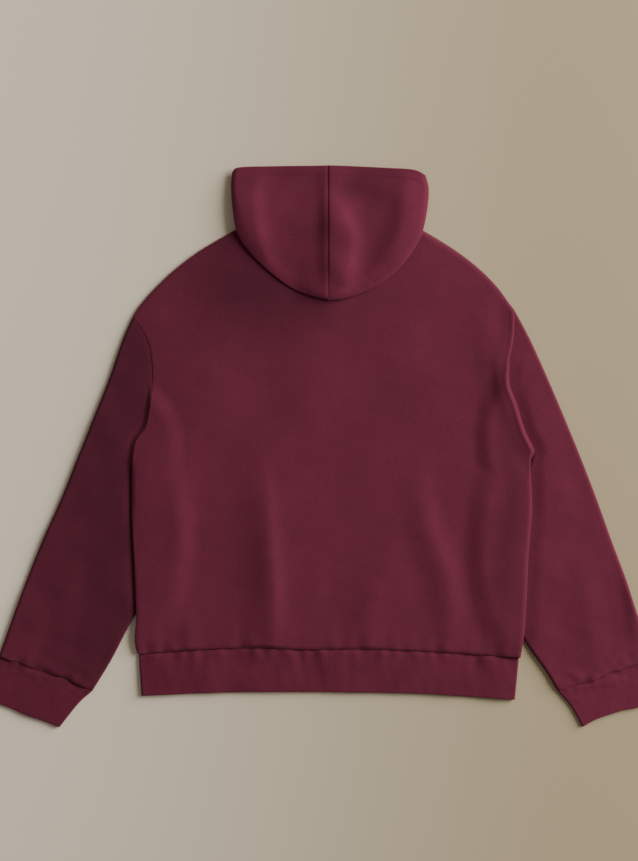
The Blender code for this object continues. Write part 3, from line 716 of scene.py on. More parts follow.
@dataclass(frozen=True)
class Knit:
    """Brushed-back cotton fleece or its rib: matt, with a short soft nap that catches light.

    A per-point attribute scales the colour: uneven tone, with painted shade and painted
    highlights;
    its painted shade makes the left sleeve look deeper in colour.
    """

    name: str
    deep: str
    pale: str
    mottle_mm: float = 26.0
    crinkle_mm: float = 9.0
    tuft_mm: float = 1.7
    crinkle_height: float = 0.22
    tuft_height: float = 0.16
    roughness: float = 0.93
    specular: float = 0.18
    sheen: float = 0.17
    sheen_roughness: float = 0.45
    sheen_tint: str = "#f2b8c2"
    # how much painted shade darkens the grooves between a rib's wales
    groove: float = 0.0

    def material(self) -> bpy.types.Material:
        """Build the knit's material.

        Returns:
            The new material.
        """
        made, tree, shader = new_material(self.name)
        place = add(tree, "ShaderNodeTexCoord").outputs["Object"]
        # Uneven dye in soft clouds, the crinkle of washed cloth, and single tufts of the nap.
        mottle, crinkle, tuft = (
            add(tree, "ShaderNodeTexNoise",
                {"Vector": place, "Scale": 1 / (size * MM), "Detail": detail,
                 "Roughness": rough}).outputs["Fac"]
            for size, detail, rough in ((self.mottle_mm, 4.0, 0.6),
                                        (self.crinkle_mm, 3.0, 0.55),
                                        (self.tuft_mm, 2.0, 0.6)))
        blend = add(tree, "ShaderNodeMath", {0: mottle, 1: 0.25}, operation="MULTIPLY")
        blend = add(tree, "ShaderNodeMath", {0: tuft, 1: 0.75, 2: blend.outputs[0]},
                    operation="MULTIPLY_ADD")
        spread = add(tree, "ShaderNodeMapRange", {"Value": blend.outputs[0], "From Min": 0.25,
                                                  "From Max": 0.75})
        colour = add(tree, "ShaderNodeMix", {"Factor": spread.outputs[0]}, data_type="RGBA")
        colour.inputs["A"].default_value = linear(self.deep)
        colour.inputs["B"].default_value = linear(self.pale)
        # A per-point attribute scales the colour: uneven tone, with painted shade and painted
        # highlights.
        tone_and_painted_light_factor = add(tree, "ShaderNodeAttribute", attribute_name="nap").outputs["Fac"]
        # Painted shade in the rib's grooves.
        if self.groove:
            tone_and_painted_light_factor = self.painted_groove_shade(tree, tone_and_painted_light_factor)
        lit = add(tree, "ShaderNodeVectorMath", {0: colour.outputs["Result"], "Scale": tone_and_painted_light_factor},
                  operation="SCALE")
        tree.links.new(lit.outputs[0], shader.inputs["Base Color"])
        fine = add(tree, "ShaderNodeBump", {"Strength": 1.0, "Height": tuft,
                                            "Distance": self.tuft_height * MM})
        soft = add(tree, "ShaderNodeBump", {"Strength": 1.0, "Height": crinkle,
                                            "Distance": self.crinkle_height * MM,
                                            "Normal": fine.outputs[0]})
        tree.links.new(soft.outputs[0], shader.inputs["Normal"])
        for socket, value in (("Roughness", self.roughness),
                              ("Specular IOR Level", self.specular),
                              ("Sheen Weight", self.sheen),
                              ("Sheen Roughness", self.sheen_roughness),
                              ("Sheen Tint", linear(self.sheen_tint))):
            shader.inputs[socket].default_value = value
        return made

    def painted_groove_shade(self, tree: bpy.types.NodeTree,
                nap: bpy.types.NodeSocket) -> bpy.types.NodeSocket:
        """Paint shade a little into the grooves between a rib's wales.

        Args:
            tree: the material's node tree.
            nap: the socket that scales the colour, with its tone and painted light.

        Returns:
            A socket with the grooves' painted shade added.
        """
        around = add(tree, "ShaderNodeAttribute", attribute_name="around").outputs["Fac"]
        turns = add(tree, "ShaderNodeMath", {0: around, 1: math.tau / (RIB_PITCH * MM)},
                    operation="MULTIPLY")
        wave = add(tree, "ShaderNodeMath", {0: turns.outputs[0]}, operation="SINE")
        dip = add(tree, "ShaderNodeMapRange",
                  {"Value": wave.outputs[0], "From Min": -1.0, "From Max": 0.4,
                   "To Min": 1 - self.groove, "To Max": 1.0})
        return add(tree, "ShaderNodeMath", {0: nap, 1: dip.outputs[0]},
                   operation="MULTIPLY").outputs[0]


@dataclass(frozen=True)
class Metal:
    """Nickel-plated zinc, tumbled: a soft grey gleam with faint wear, never a mirror."""

    name: str = "tumbled_nickel_plate"
    colour: str = "#b5b1aa"
    roughness: float = 0.32
    wear_mm: float = 1.5
    dent_height: float = 0.03

    def material(self) -> bpy.types.Material:
        """Build the metal's material.

        Returns:
            The new material.
        """
        made, tree, shader = new_material(self.name)
        place = add(tree, "ShaderNodeTexCoord").outputs["Object"]
        # Rubbed spots are smoother than the rest, and the tumbling leaves shallow dents.
        wear = add(tree, "ShaderNodeTexNoise",
                   {"Vector": place, "Scale": 1 / (self.wear_mm * MM), "Detail": 3.0,
                    "Roughness": 0.6}).outputs["Fac"]
        rough = add(tree, "ShaderNodeMapRange", {"Value": wear, "To Min": self.roughness - 0.08,
                                                 "To Max": self.roughness + 0.16})
        dent = add(tree, "ShaderNodeBump", {"Strength": 0.4, "Height": wear,
                                            "Distance": self.dent_height * MM})
        shader.inputs["Base Color"].default_value = linear(self.colour)
        shader.inputs["Metallic"].default_value = 1.0
        tree.links.new(rough.outputs[0], shader.inputs["Roughness"])
        tree.links.new(dent.outputs[0], shader.inputs["Normal"])
        return made


@dataclass(frozen=True)
class Tape:
    """Woven polyester tape or thread: a dull diagonal weave with shallow ridges."""

    name: str
    colour: str
    pale: str
    weave_mm: float = 12.0

    def material(self) -> bpy.types.Material:
        """Build the tape's material.

        Returns:
            The new material.
        """
        made, tree, shader = new_material(self.name)
        place = add(tree, "ShaderNodeTexCoord").outputs["Object"]
        # The weave's ridges lie about a third of weave_mm apart.
        weave = add(tree, "ShaderNodeTexWave",
                    {"Vector": place, "Scale": 1 / (self.weave_mm * MM), "Distortion": 0.4},
                    bands_direction="DIAGONAL")
        colour = add(tree, "ShaderNodeMix", {"Factor": weave.outputs["Fac"]}, data_type="RGBA")
        colour.inputs["A"].default_value = linear(self.colour)
        colour.inputs["B"].default_value = linear(self.pale)
        bump = add(tree, "ShaderNodeBump", {"Strength": 0.6, "Height": weave.outputs["Fac"],
                                            "Distance": 0.1 * MM})
        tree.links.new(colour.outputs["Result"], shader.inputs["Base Color"])
        tree.links.new(bump.outputs[0], shader.inputs["Normal"])
        shader.inputs["Roughness"].default_value = 0.8
        return made


@dataclass(frozen=True)
class Finishes:
    """Every material of the hoodie, made once."""

    fleece: bpy.types.Material
    rib: bpy.types.Material
    thread: bpy.types.Material
    tape: bpy.types.Material
    metal: bpy.types.Material

    @classmethod
    def made(cls) -> "Finishes":
        """Build the materials."""
        return cls(
            fleece=Knit("brushed_back_cotton_fleece", "#581c2f", "#6a2538").material(),
            # the rib's groove setting paints shade into its grooves
            rib=Knit("cotton_rib_knit", "#561b2d", "#672235", mottle_mm=18.0,
                     groove=0.012).material(),
            thread=Tape("spun_polyester_thread", "#4d1828", "#642436", weave_mm=6.0).material(),
            tape=Tape("woven_polyester_zip_tape", "#4a1727", "#5c2032").material(),
            metal=Metal().material(),
        )


def ribbed(name: str, node: str, rings: np.ndarray, around: np.ndarray, nap: np.ndarray,
           cloth: bpy.types.Material, **skin_settings: bool) -> bpy.types.Object:
    """Make a rib-knit piece from rings of points and raise its wales.

    Args:
        name: the piece's name; node: the node that it stands for.
        rings: rows, columns and x, y, z, in millimetres.
        around: each column's distance round the rib, in metres.
        nap: how bright the colour is at each point, with its tone and painted light.
        cloth: the rib's material.
        skin_settings: how the columns join, as skin has it.

    Returns:
        The finished piece.
    """
    around = np.broadcast_to(around, rings.shape[:2])
    piece = skin(name, rings, nap=nap, around=around, **skin_settings)
    grown(piece, bpy.data.node_groups["rib_wales"], pitch=RIB_PITCH * MM,
          depth=RIB_DEPTH * MM, cloth=cloth)
    return dressed(piece, cloth, nodes=(node,))


# ---- body -----------------------------------------------------------------------------------


@dataclass
class Body:
    """The back panel and the two fronts, lying on each other, in millimetres."""

    finishes: Finishes
    loft: float = 8.6
    edge_level: float = 4.3
    edge_radius: float = 7.0
    hem_radius: float = 7.5
    hem_level: float = 0.34
    hem_uneven: float = 0.16
    hem_wave: Wave = Wave(1.6, 130, 71, 0.0)
    folds_from: float = 0.6
    armhole_radius: float = 3.2
    armhole_level: dict[Side, float] = by_side(0.72, 0.5)
    armhole_ridges: tuple[Ridge, ...] = (Ridge(0.7, 4, 3), Ridge(-1.5, 22, 14))
    thin_shoulder: Fade = Fade(3.8, 45)
    thin_side: Fade = Fade(3.0, 38)
    gather: Fade = Fade(0.75, 16)
    gather_wave: Wave = Wave(1.0, 26, 8, 0.0)
    waves: tuple[Wave, ...] = (Wave(0.45, 150, 3), Wave(0.1, 48, 5))
    wall: float = 2.0
    pile: tuple[Wave, ...] = (Wave(0.015, 120, 12), Wave(0.006, 40, 13))
    brightness: float = 1.02
    # painted shadow below and left of the hood
    painted_shadow_below_hood: Oval = Oval(-100, 246, 116, 82, -0.42)
    rows_armhole: int = 60
    rows_side: int = 96
    columns_shoulder: int = 44
    columns_neck: int = 56
    creases: tuple[Crease, ...] = (
        Crease(((-97, -30), (-88, -143), (-82, -227), (-86, -318)),
               14, 36, 5.2),
        Crease(((-97, -30), (-88, -143), (-82, -227), (-86, -318)),
               46, 36, 3.2),
        Crease(((-14, -185), (-12, -250), (6, -320)), 14, 26, 2.0),
        Crease(((72, -190), (64, -250), (60, -318)), 22, 26, 2.8),
        Crease(((140, -30), (146, -110), (176, -195), (184, -290)),
               17, 26, 5.0),
        Crease(((84, -110), (98, -200), (120, -270)), 26, 30, 1.6),
        Crease(((-212, -225), (-212, -270), (-208, -318)), 14, 26, 2.2),
        Crease(((-216, -20), (-212, -100), (-214, -180)), 15, 26, 1.4),
        Crease(((254, 160), (256, 110), (268, 40)), 22, 12, 3.0),
        Crease(((-40, 95), (-30, 55), (-34, 10)), 26, 40, 1.6),
        Crease(((-180, 130), (-170, 60), (-190, -10)), 30, 50, 1.4),
        Crease(((180, 170), (160, 100), (165, 20)), 40, 60, 1.3),
    )
    # painted shade along the back's valleys, with one painted highlight on the left
    painted_shading_strokes: tuple[Crease, ...] = (
        Crease(((258, 150), (263, 40), (273, -20), (276, -70), (267, -140),
                (257, -230), (254, -310)), 18, 14, -0.22),
        Crease(((226, 165), (232, 110), (240, 60)), 13, 13, -0.22),
        Crease(((2, -220), (0, -265), (2, -310)), 10, 10, -0.17),
        Crease(((-101, -80), (-101, -170), (-98, -270)), 12, 12, -0.10),
        Crease(((-231, 75), (-231, 0), (-232, -85)), 9, 9, -0.13),
        Crease(((-200, 70), (-200, 0), (-199, -90)), 13, 12, 0.08),
    )

    def side_line(self, side: Side) -> np.ndarray:
        """Return the armhole and the side seam as one line, from the shoulder to the hem.

        Args:
            side: which side.

        Returns:
            Its points, in millimetres.
        """
        shares = 1 - (1 - np.linspace(0, 1, self.rows_side + 1)) ** 1.35
        upper = line_of(OUTLINES[side].armhole, self.rows_armhole)
        lower = at_shares(line_of(OUTLINES[side].side_seam, 200), shares)
        return np.vstack([upper, lower[1:]])

    def shoulder(self, side: Side) -> np.ndarray:
        """Return a shoulder seam's points from the neck to the armhole, closer at its end."""
        shares = 1 - (1 - np.linspace(0, 1, self.columns_shoulder + 1)) ** 1.5
        return at_shares(line_of(OUTLINES[side].shoulder, 200), shares)

    def hem_under(self, top: np.ndarray, left: float, right: float) -> np.ndarray:
        """Return hem seam points below a top edge, between two distances across.

        Args:
            top: the top edge's points.
            left, right: where the hem's run begins and ends across.

        Returns:
            One point for each point of the top edge.
        """
        fine = line_of(HEM, 400)
        share = (top[:, 0] - top[0, 0]) / (top[-1, 0] - top[0, 0])
        xs = left + share * (right - left)
        return np.column_stack([xs, np.interp(xs, fine[:, 0], fine[:, 1])])

    def back_grid(self) -> np.ndarray:
        """Return the back panel's places.

        Returns:
            Rows, columns and x, y, in millimetres.
        """
        left, right = self.side_line(Side.LEFT), self.side_line(Side.RIGHT)
        xs = np.linspace(-NECK_HALF, NECK_HALF, self.columns_neck + 1)[1:-1]
        neck = np.column_stack([xs, neck_along(xs, BACK_NECK)])
        top = np.vstack([self.shoulder(Side.LEFT)[::-1], neck, self.shoulder(Side.RIGHT)])
        return filled(top, self.hem_under(top, left[-1, 0], right[-1, 0]), left, right)

    def front_grid(self, side: Side) -> np.ndarray:
        """Return one front's places, from the side seam to the zip.

        Args:
            side: which front.

        Returns:
            Rows, columns and x, y, in millimetres.
        """
        outer = self.side_line(side)
        sign = side.value
        xs = sign * np.linspace(NECK_HALF, FRONT_EDGE, self.columns_neck // 2)[1:]
        neck = np.column_stack([xs, neck_along(xs, FRONT_NECK)])
        top = np.vstack([self.shoulder(side)[::-1], neck])
        bottom = self.hem_under(top, outer[-1, 0], sign * FRONT_EDGE)
        centre = top[-1] + (bottom[-1] - top[-1]) * shares_of(outer)[:, None]
        return filled(top, bottom, outer, centre)

    def fullness(self, grid: np.ndarray) -> np.ndarray:
        """Return 0 to 1: how far the cloth has risen from its edges to its full loft.

        Args:
            grid: rows, columns and x, y, in millimetres.

        Returns:
            A share for each place.
        """
        full = np.ones(grid.shape[:2])
        for side, outline in OUTLINES.items():
            sewn = self.armhole_level[side]
            for spots, base, radius in ((outline.shoulder, 0.0, self.edge_radius),
                                        (outline.armhole, sewn, self.armhole_radius),
                                        (outline.side_seam, 0.0, self.edge_radius)):
                away = distance_to(grid, line_of(spots, 60))
                full = np.minimum(full, base + (1 - base) * rolled(away, radius))
        away = distance_to(grid, line_of(HEM, 60))
        low = self.hem_level + self.hem_uneven * np.tanh(wavy(grid, (self.hem_wave,)))
        return np.minimum(full, low + (1 - low) * rolled(away, self.hem_radius))

    def surface(self, grid: np.ndarray) -> np.ndarray:
        """Return the height of the back's outer face.

        Args:
            grid: rows, columns and x, y, in millimetres.

        Returns:
            A height for each place, in millimetres.
        """
        x, y = grid[..., 0], grid[..., 1]
        left, right = OUTLINES[Side.LEFT], OUTLINES[Side.RIGHT]
        full = self.fullness(grid)
        inner = eased((full - self.folds_from) / (1 - self.folds_from))
        folds = creased(grid, self.creases) + swollen(grid, (NECK_SWELL,))
        waves = wavy(grid, self.waves)
        from_hem = y - np.interp(x, *line_of(HEM, 60).T)
        gathers = (self.gather.at(from_hem) * wavy(grid, (self.gather_wave,))
                   * (0.4 + 0.6 * full))
        near_arm = distance_to(grid, line_of(right.armhole, 60))
        ridges = sum(ridge.at(near_arm) for ridge in self.armhole_ridges)
        by_shoulder = distance_to(grid, line_of(left.shoulder, 60))
        by_side = np.minimum(distance_to(grid, line_of(left.side_seam, 60)),
                             distance_to(grid, line_of(left.armhole, 60)))
        thinner = np.maximum(self.thin_shoulder.at(by_shoulder), self.thin_side.at(by_side))
        loft = self.loft - thinner + inner * (folds + waves + ridges) + gathers
        return body_rise(grid) + self.edge_level + (loft - self.edge_level) * full

    def underside(self, grid: np.ndarray) -> np.ndarray:
        """Return the height of the fronts' outer face, flat where it rests."""
        return body_rise(grid) + self.edge_level * (1 - self.fullness(grid)) ** 1.5

    def nap(self, grid: np.ndarray) -> np.ndarray:
        """Return the back's colour scale: uneven tone, painted shadow by the hood, painted shade
        on creases.
        """
        return (self.brightness + swollen(grid, (self.painted_shadow_below_hood,)) + wavy(grid, self.pile)
                + creased(grid, self.painted_shading_strokes))

    def build(self) -> None:
        """Build the back and both fronts."""
        grid = self.back_grid()
        back = skin("back_panel", np.dstack([grid, self.surface(grid)]), nap=self.nap(grid))
        walled(back, self.wall)
        dressed(back, self.finishes.fleece, nodes=("back",))
        for side in Side:
            grid = self.front_grid(side)
            front = skin(f"front_{side.word}_panel", np.dstack([grid, self.underside(grid)]),
                         flip=side is Side.LEFT, nap=np.ones(grid.shape[:2]))
            walled(front, self.wall)
            dressed(front, self.finishes.fleece, nodes=(f"front_{side.word}",))


@dataclass
class Sided:
    """A part of the garment that is made once for each side."""

    side: Side
    finishes: Finishes

    @property
    def left(self) -> bool:
        """Tell whether this is the wearer's left one."""
        return self.side is Side.LEFT

    @property
    def cut(self) -> Outline:
        """Return this side's seams and edges."""
        return OUTLINES[self.side]

    def own(self, points: np.ndarray, wave: Wave) -> np.ndarray:
        """Return waves that run differently on the other side."""
        return wavy(points, (wave._replace(seed=wave.seed + self.side.value),))


# ---- sleeves and cuffs ----------------------------------------------------------------------


@dataclass
class Arm(Sided):
    """One sleeve and its cuff: tubes pressed flat, in millimetres."""

    height: float = 8.2
    edge_radius: float = 5.0
    columns: int = 56
    rows: int = 150
    cuff_rows: int = 26
    cuff_columns: int = 200
    cuff_height: float = 6.0
    cuff_radius: float = 3.2
    hem_turn: float = 1.2
    hem_backs: tuple[float, float] = (4.0, 10.0)
    head_squash: dict[Side, Fade] = by_side(Fade(0.26, 20), Fade(0.38, 26))
    head_reach: dict[Side, float] = by_side(4.5, 1.5)
    clear_reach: dict[Side, float] = by_side(12, 22)
    body_carries: float = 0.85     # the share of the body's lift that its edge passes on
    sewn_reach: float = 4.0
    sewn_gap: float = 0.04
    foot_least: float = 0.14
    foot_more: float = 0.26
    foot_radius: float = 7.0
    foot_wave: Wave = Wave(1.4, 60, 27)
    gather: Fade = Fade(0.8, 12)
    gather_wave: Wave = Wave(1.0, 24, 23)
    cuff_tuck: float = 0.3
    cuff_tuck_reach: float = 7.0
    cuff_waves: tuple[Wave, ...] = (Wave(0.25, 60, 43),)
    pucker: Fade = Fade(0.45, 14)
    pucker_wave: Wave = Wave(1.0, 17, 41)
    waves: tuple[Wave, ...] = (Wave(0.35, 110, 21), Wave(0.15, 40, 22))
    pile: tuple[Wave, ...] = (Wave(0.02, 70, 31),)
    # painted light that lifts the shade on the left sleeve beside the body's edge
    painted_light_near_body: Fade = Fade(0.12, 8)
    # brightness by side: the left sleeve's far lower value is painted shade
    brightness: dict[Side, float] = by_side(0.615, 1.05)
    painted_light_outward: float = 0.27      # painted light on the left sleeve's outer side, from outer_start out
    outer_start: float = 335.0
    outer_reach: float = 110.0
    # the cuffs' brightness by side is painted light and shade: the right cuff lit, the left one
    # shaded
    cuff_brightness: dict[Side, float] = by_side(0.98, 1.14)
    cuff_creases: tuple[Crease, ...] = (
        Crease(((366, -364), (400, -358), (440, -350)), 6, 7, 1.3),
        Crease(((-400, -352), (-432, -345), (-462, -333)), 5, 6, 0.7),
    )
    # painted shade: a dark valley on the right sleeve and a dark spot at the underarm notch
    painted_shading_strokes: tuple[Crease, ...] = (
        Crease(((410, -180), (428, -245), (438, -310)), 11, 12, -0.14),
        Crease(((308, -8), (307, -17), (306, -28)), 2.4, 2.4, -0.75),
    )
    creases: dict[Side, tuple[Crease, ...]] = by_side((
        Crease(((-330, 60), (-345, -10), (-360, -80)), 30, 40, 1.2),
        Crease(((-380, -190), (-398, -250), (-412, -330)), 20, 26, 1.6),
        Crease(((-430, -240), (-446, -290), (-455, -322)), 14, 20, 1.2),
        Crease(((-340, -235), (-352, -290), (-372, -345)), 16, 22, 1.1),
    ), (
        Crease(((330, 40), (340, -40), (345, -110)), 26, 34, 1.4),
        Crease(((392, -205), (398, -270), (404, -334)), 60, 17, 2.4),
        Crease(((446, -165), (460, -235), (467, -314)), 22, 14, 4.2),
        Crease(((356, -336), (388, -350), (420, -343)), 9, 8, 1.3),
        Crease(((356, -150), (380, -230), (392, -340)), 24, 26, 1.5),
    ))

    def sleeve_grid(self) -> np.ndarray:
        """Return the sleeve's places, rows from the armhole to the cuff, outer edge first.

        Returns:
            Rows, columns and x, y, in millimetres.
        """
        armhole, outer, inner = self.edge_lines()
        chain = np.vstack([armhole, inner[1:]])
        across = close_at_ends(self.columns, 0.85)[:, None]
        down = 0.003 + 0.997 * close_at_ends(self.rows, 0.7)
        sides = []
        for line in (outer, chain):
            ys = line[0, 1] + (line[-1, 1] - line[0, 1]) * down
            sides.append(np.column_stack([np.interp(-ys, -line[:, 1], line[:, 0]), ys]))
        head = sides[0][0] + (sides[1][0] - sides[0][0]) * across
        end = at_shares(line_of(self.cut.cuff_seam, 200), across[:, 0])
        return filled(head, end, *sides)

    def edge_lines(self) -> tuple[np.ndarray, np.ndarray, np.ndarray]:
        """Return the armhole seam and the sleeve's outer and inner edges."""
        return (line_of(self.cut.armhole, 200), line_of(self.cut.outer, 300),
                line_of(self.cut.inner, 300))

    def body_side(self) -> np.ndarray:
        """Return the edge of the body that lies over the sleeve."""
        return np.vstack([line_of(self.cut.armhole, 60),
                          line_of(self.cut.side_seam, 80)[1:]])

    def sleeve_heights(self, grid: np.ndarray) -> tuple[np.ndarray, np.ndarray]:
        """Return the heights of the sleeve's upper and lower faces.

        Args:
            grid: rows, columns and x, y, in millimetres.

        Returns:
            Two heights for each place, in millimetres.
        """
        armhole, outer, inner = self.edge_lines()
        edges = np.minimum(distance_to(grid, outer[::3]), distance_to(grid, inner[::3]))
        full = rolled(edges, self.edge_radius)
        from_head = distance_to(grid, armhole[::3])
        head = 1 - self.head_squash[self.side].at(from_head)
        from_cuff = distance_to(grid, grid[-1])
        uneven = 0.5 + 0.5 * np.tanh(self.own(grid, self.foot_wave))
        dip = self.foot_least + self.foot_more * uneven
        foot = 1 - dip * (1 - rolled(from_cuff, self.foot_radius))
        outside, _, _ = signed_reach(grid, self.body_side())
        outside = outside if self.left else -outside
        seen = np.maximum(1 - lifted(grid), eased(outside / self.clear_reach[self.side]))
        folds = creased(grid, self.creases[self.side])
        waves = wavy(grid, self.waves)
        gathers = self.gather.at(from_cuff) * self.own(grid, self.gather_wave)
        top = SLEEVE_FLAT + seen * (self.height - SLEEVE_FLAT + folds + waves + gathers)
        middle = self.cuff_height / 2
        upper = middle + (top - middle) * full * head * foot
        beside = np.exp(-(from_head / self.head_reach[self.side]) ** 2)
        upper += self.body_carries * body_rise(grid) * beside
        sewn = 1 - eased(from_head / self.sewn_reach)
        lower = middle * (1 - full) * (1 - sewn) + (upper - self.sewn_gap) * sewn
        return upper, lower

    def ring(self, grid: np.ndarray, upper: np.ndarray, lower: np.ndarray) -> np.ndarray:
        """Join an upper and a lower face into closed rings of points.

        Args:
            grid: rows, columns and x, y, in millimetres.
            upper, lower: the heights of the two faces at each place.

        Returns:
            Rows, columns and x, y, z; each row goes over the tube and back under it.
        """
        over = np.dstack([grid, upper])
        under = np.dstack([grid, lower])[:, -2:0:-1]
        return np.concatenate([over, under], axis=1)

    def build(self) -> None:
        """Build the sleeve and its cuff."""
        word = self.side.word
        grid = self.sleeve_grid()
        upper, lower = self.sleeve_heights(grid)
        rings = self.ring(grid, upper, lower)
        sleeve = skin(f"sleeve_{word}_tube", rings, wrap=True, flip=not self.left,
                      nap=self.nap(rings))
        self.open_armhole(sleeve, rings)
        dressed(sleeve, self.finishes.fleece, nodes=(f"sleeve_{word}",))
        self.build_cuff()

    def open_armhole(self, sleeve: bpy.types.Object, rings: np.ndarray) -> None:
        """Take out the strip of faces along the armhole, where the tube is open.

        Args:
            sleeve: the tube.
            rings: the rings it is made from.
        """
        underarm = self.edge_lines()[0][-1, 1]
        open_rows = np.flatnonzero(rings[1:, self.columns, 1] >= underarm)
        with edited(sleeve) as bm:
            strip = [bm.faces[row * rings.shape[1] + self.columns] for row in open_rows]
            bmesh.ops.delete(bm, geom=strip, context="FACES_ONLY")

    def nap(self, rings: np.ndarray) -> np.ndarray:
        """Return the colour's scale: uneven tone, painted shade over the left sleeve eased by
        painted light, and painted shade strokes on the right one.

        Args:
            rings: the sleeve's rings of points.

        Returns:
            A brightness for each point.
        """
        x, y = rings[..., 0], rings[..., 1]
        uneven = wavy(rings, self.pile)
        if not self.left:
            return (self.brightness[self.side] + uneven
                    + creased(rings[..., :2], self.painted_shading_strokes))
        # Painted light, stronger towards the left sleeve's outer side and lower down.
        outward = self.painted_light_outward * np.clip((-x - self.outer_start) / self.outer_reach, 0, 1.2)
        lower = 0.7 + 0.3 * np.clip((-y - 100) / 200, 0, 1)
        painted_light_by_body = self.painted_light_near_body.at(distance_to(rings[..., :2], self.body_side()))
        return self.brightness[self.side] + outward * lower + painted_light_by_body + uneven

    def cuff_grid(self) -> np.ndarray:
        """Return the cuff's places, rows from its seam to its open end, outer edge first.

        Returns:
            Rows, columns and x, y, in millimetres.
        """
        across = np.linspace(0, 1, self.cuff_columns + 1)
        down = np.linspace(0, 1, self.cuff_rows + 1)
        return filled(at_shares(line_of(self.cut.cuff_seam, 200), across),
                      at_shares(line_of(self.cut.cuff_end, 200), across),
                      at_shares(line_of(self.cut.cuff_outer, 60), down),
                      at_shares(line_of(self.cut.cuff_inner, 60), down))

    def build_cuff(self) -> None:
        """Build the ribbed cuff with its folded open end."""
        word = self.side.word
        grid = self.cuff_grid()
        edges = np.minimum(distance_to(grid, grid[:, 0]), distance_to(grid, grid[:, -1]))
        full = rolled(edges, self.cuff_radius)
        from_seam = distance_to(grid, grid[0])
        tuck = self.cuff_tuck * (eased(from_seam / self.cuff_tuck_reach) - 1)
        puckers = self.pucker.at(from_seam) * self.own(grid, self.pucker_wave)
        waves = wavy(grid, self.cuff_waves) + creased(grid, self.cuff_creases)
        middle = self.cuff_height / 2
        top = self.cuff_height + tuck + (puckers + waves) * full
        rings = self.ring(grid, middle + (top - middle) * full, middle * (1 - full))
        rings = np.concatenate([rings, self.turned_in(rings)], axis=0)
        step = np.linalg.norm(np.diff(rings[..., :2], axis=1, append=rings[:, :1, :2]), axis=2)
        width = step[self.cuff_rows // 2]
        girth = max(1, round(width.sum() / RIB_PITCH)) * RIB_PITCH * MM
        around = np.concatenate([[0], np.cumsum(width)[:-1]]) / width.sum() * girth
        cuff = ribbed(f"cuff_{word}_rib", f"cuff_{word}", rings, around,
                      np.full(rings.shape[:2], self.cuff_brightness[self.side]),
                      self.finishes.rib, wrap=True, flip=not self.left)

    def turned_in(self, rings: np.ndarray) -> np.ndarray:
        """Return rows that fold the cuff's open end in on itself.

        Args:
            rings: the cuff's rings of points.

        Returns:
            The rings that follow the last one.
        """
        last, before = rings[-1], rings[-4]
        down = last[:, :2] - before[:, :2]
        down /= np.linalg.norm(down, axis=1)[:, None]
        middle = self.cuff_height / 2
        rows = []
        for angle in np.linspace(0, math.pi, TURN_STEPS + 1)[1:]:
            inward = self.hem_turn * (1 - math.cos(angle))
            reach = self.hem_turn * math.sin(angle)
            rows.append(self.shrunk(last, down * reach, inward, middle))
        for back in self.hem_backs:
            rows.append(self.shrunk(last, -down * back, 2 * self.hem_turn, middle))
        return np.array(rows)

    @staticmethod
    def shrunk(ring: np.ndarray, shift: np.ndarray, inward: float,
               middle: float) -> np.ndarray:
        """Return a ring moved along the cuff and in towards its middle height.

        Args:
            ring: the ring's points.
            shift: how far each point moves along the cuff.
            inward: how far the two faces close in.
            middle: the height between them.

        Returns:
            The moved ring.
        """
        height = ring[:, 2] - middle
        keep = np.maximum(np.abs(height) - inward, 0.25) * np.sign(height)
        return np.column_stack([ring[:, :2] + shift, middle + keep])


# ---- hem band -------------------------------------------------------------------------------


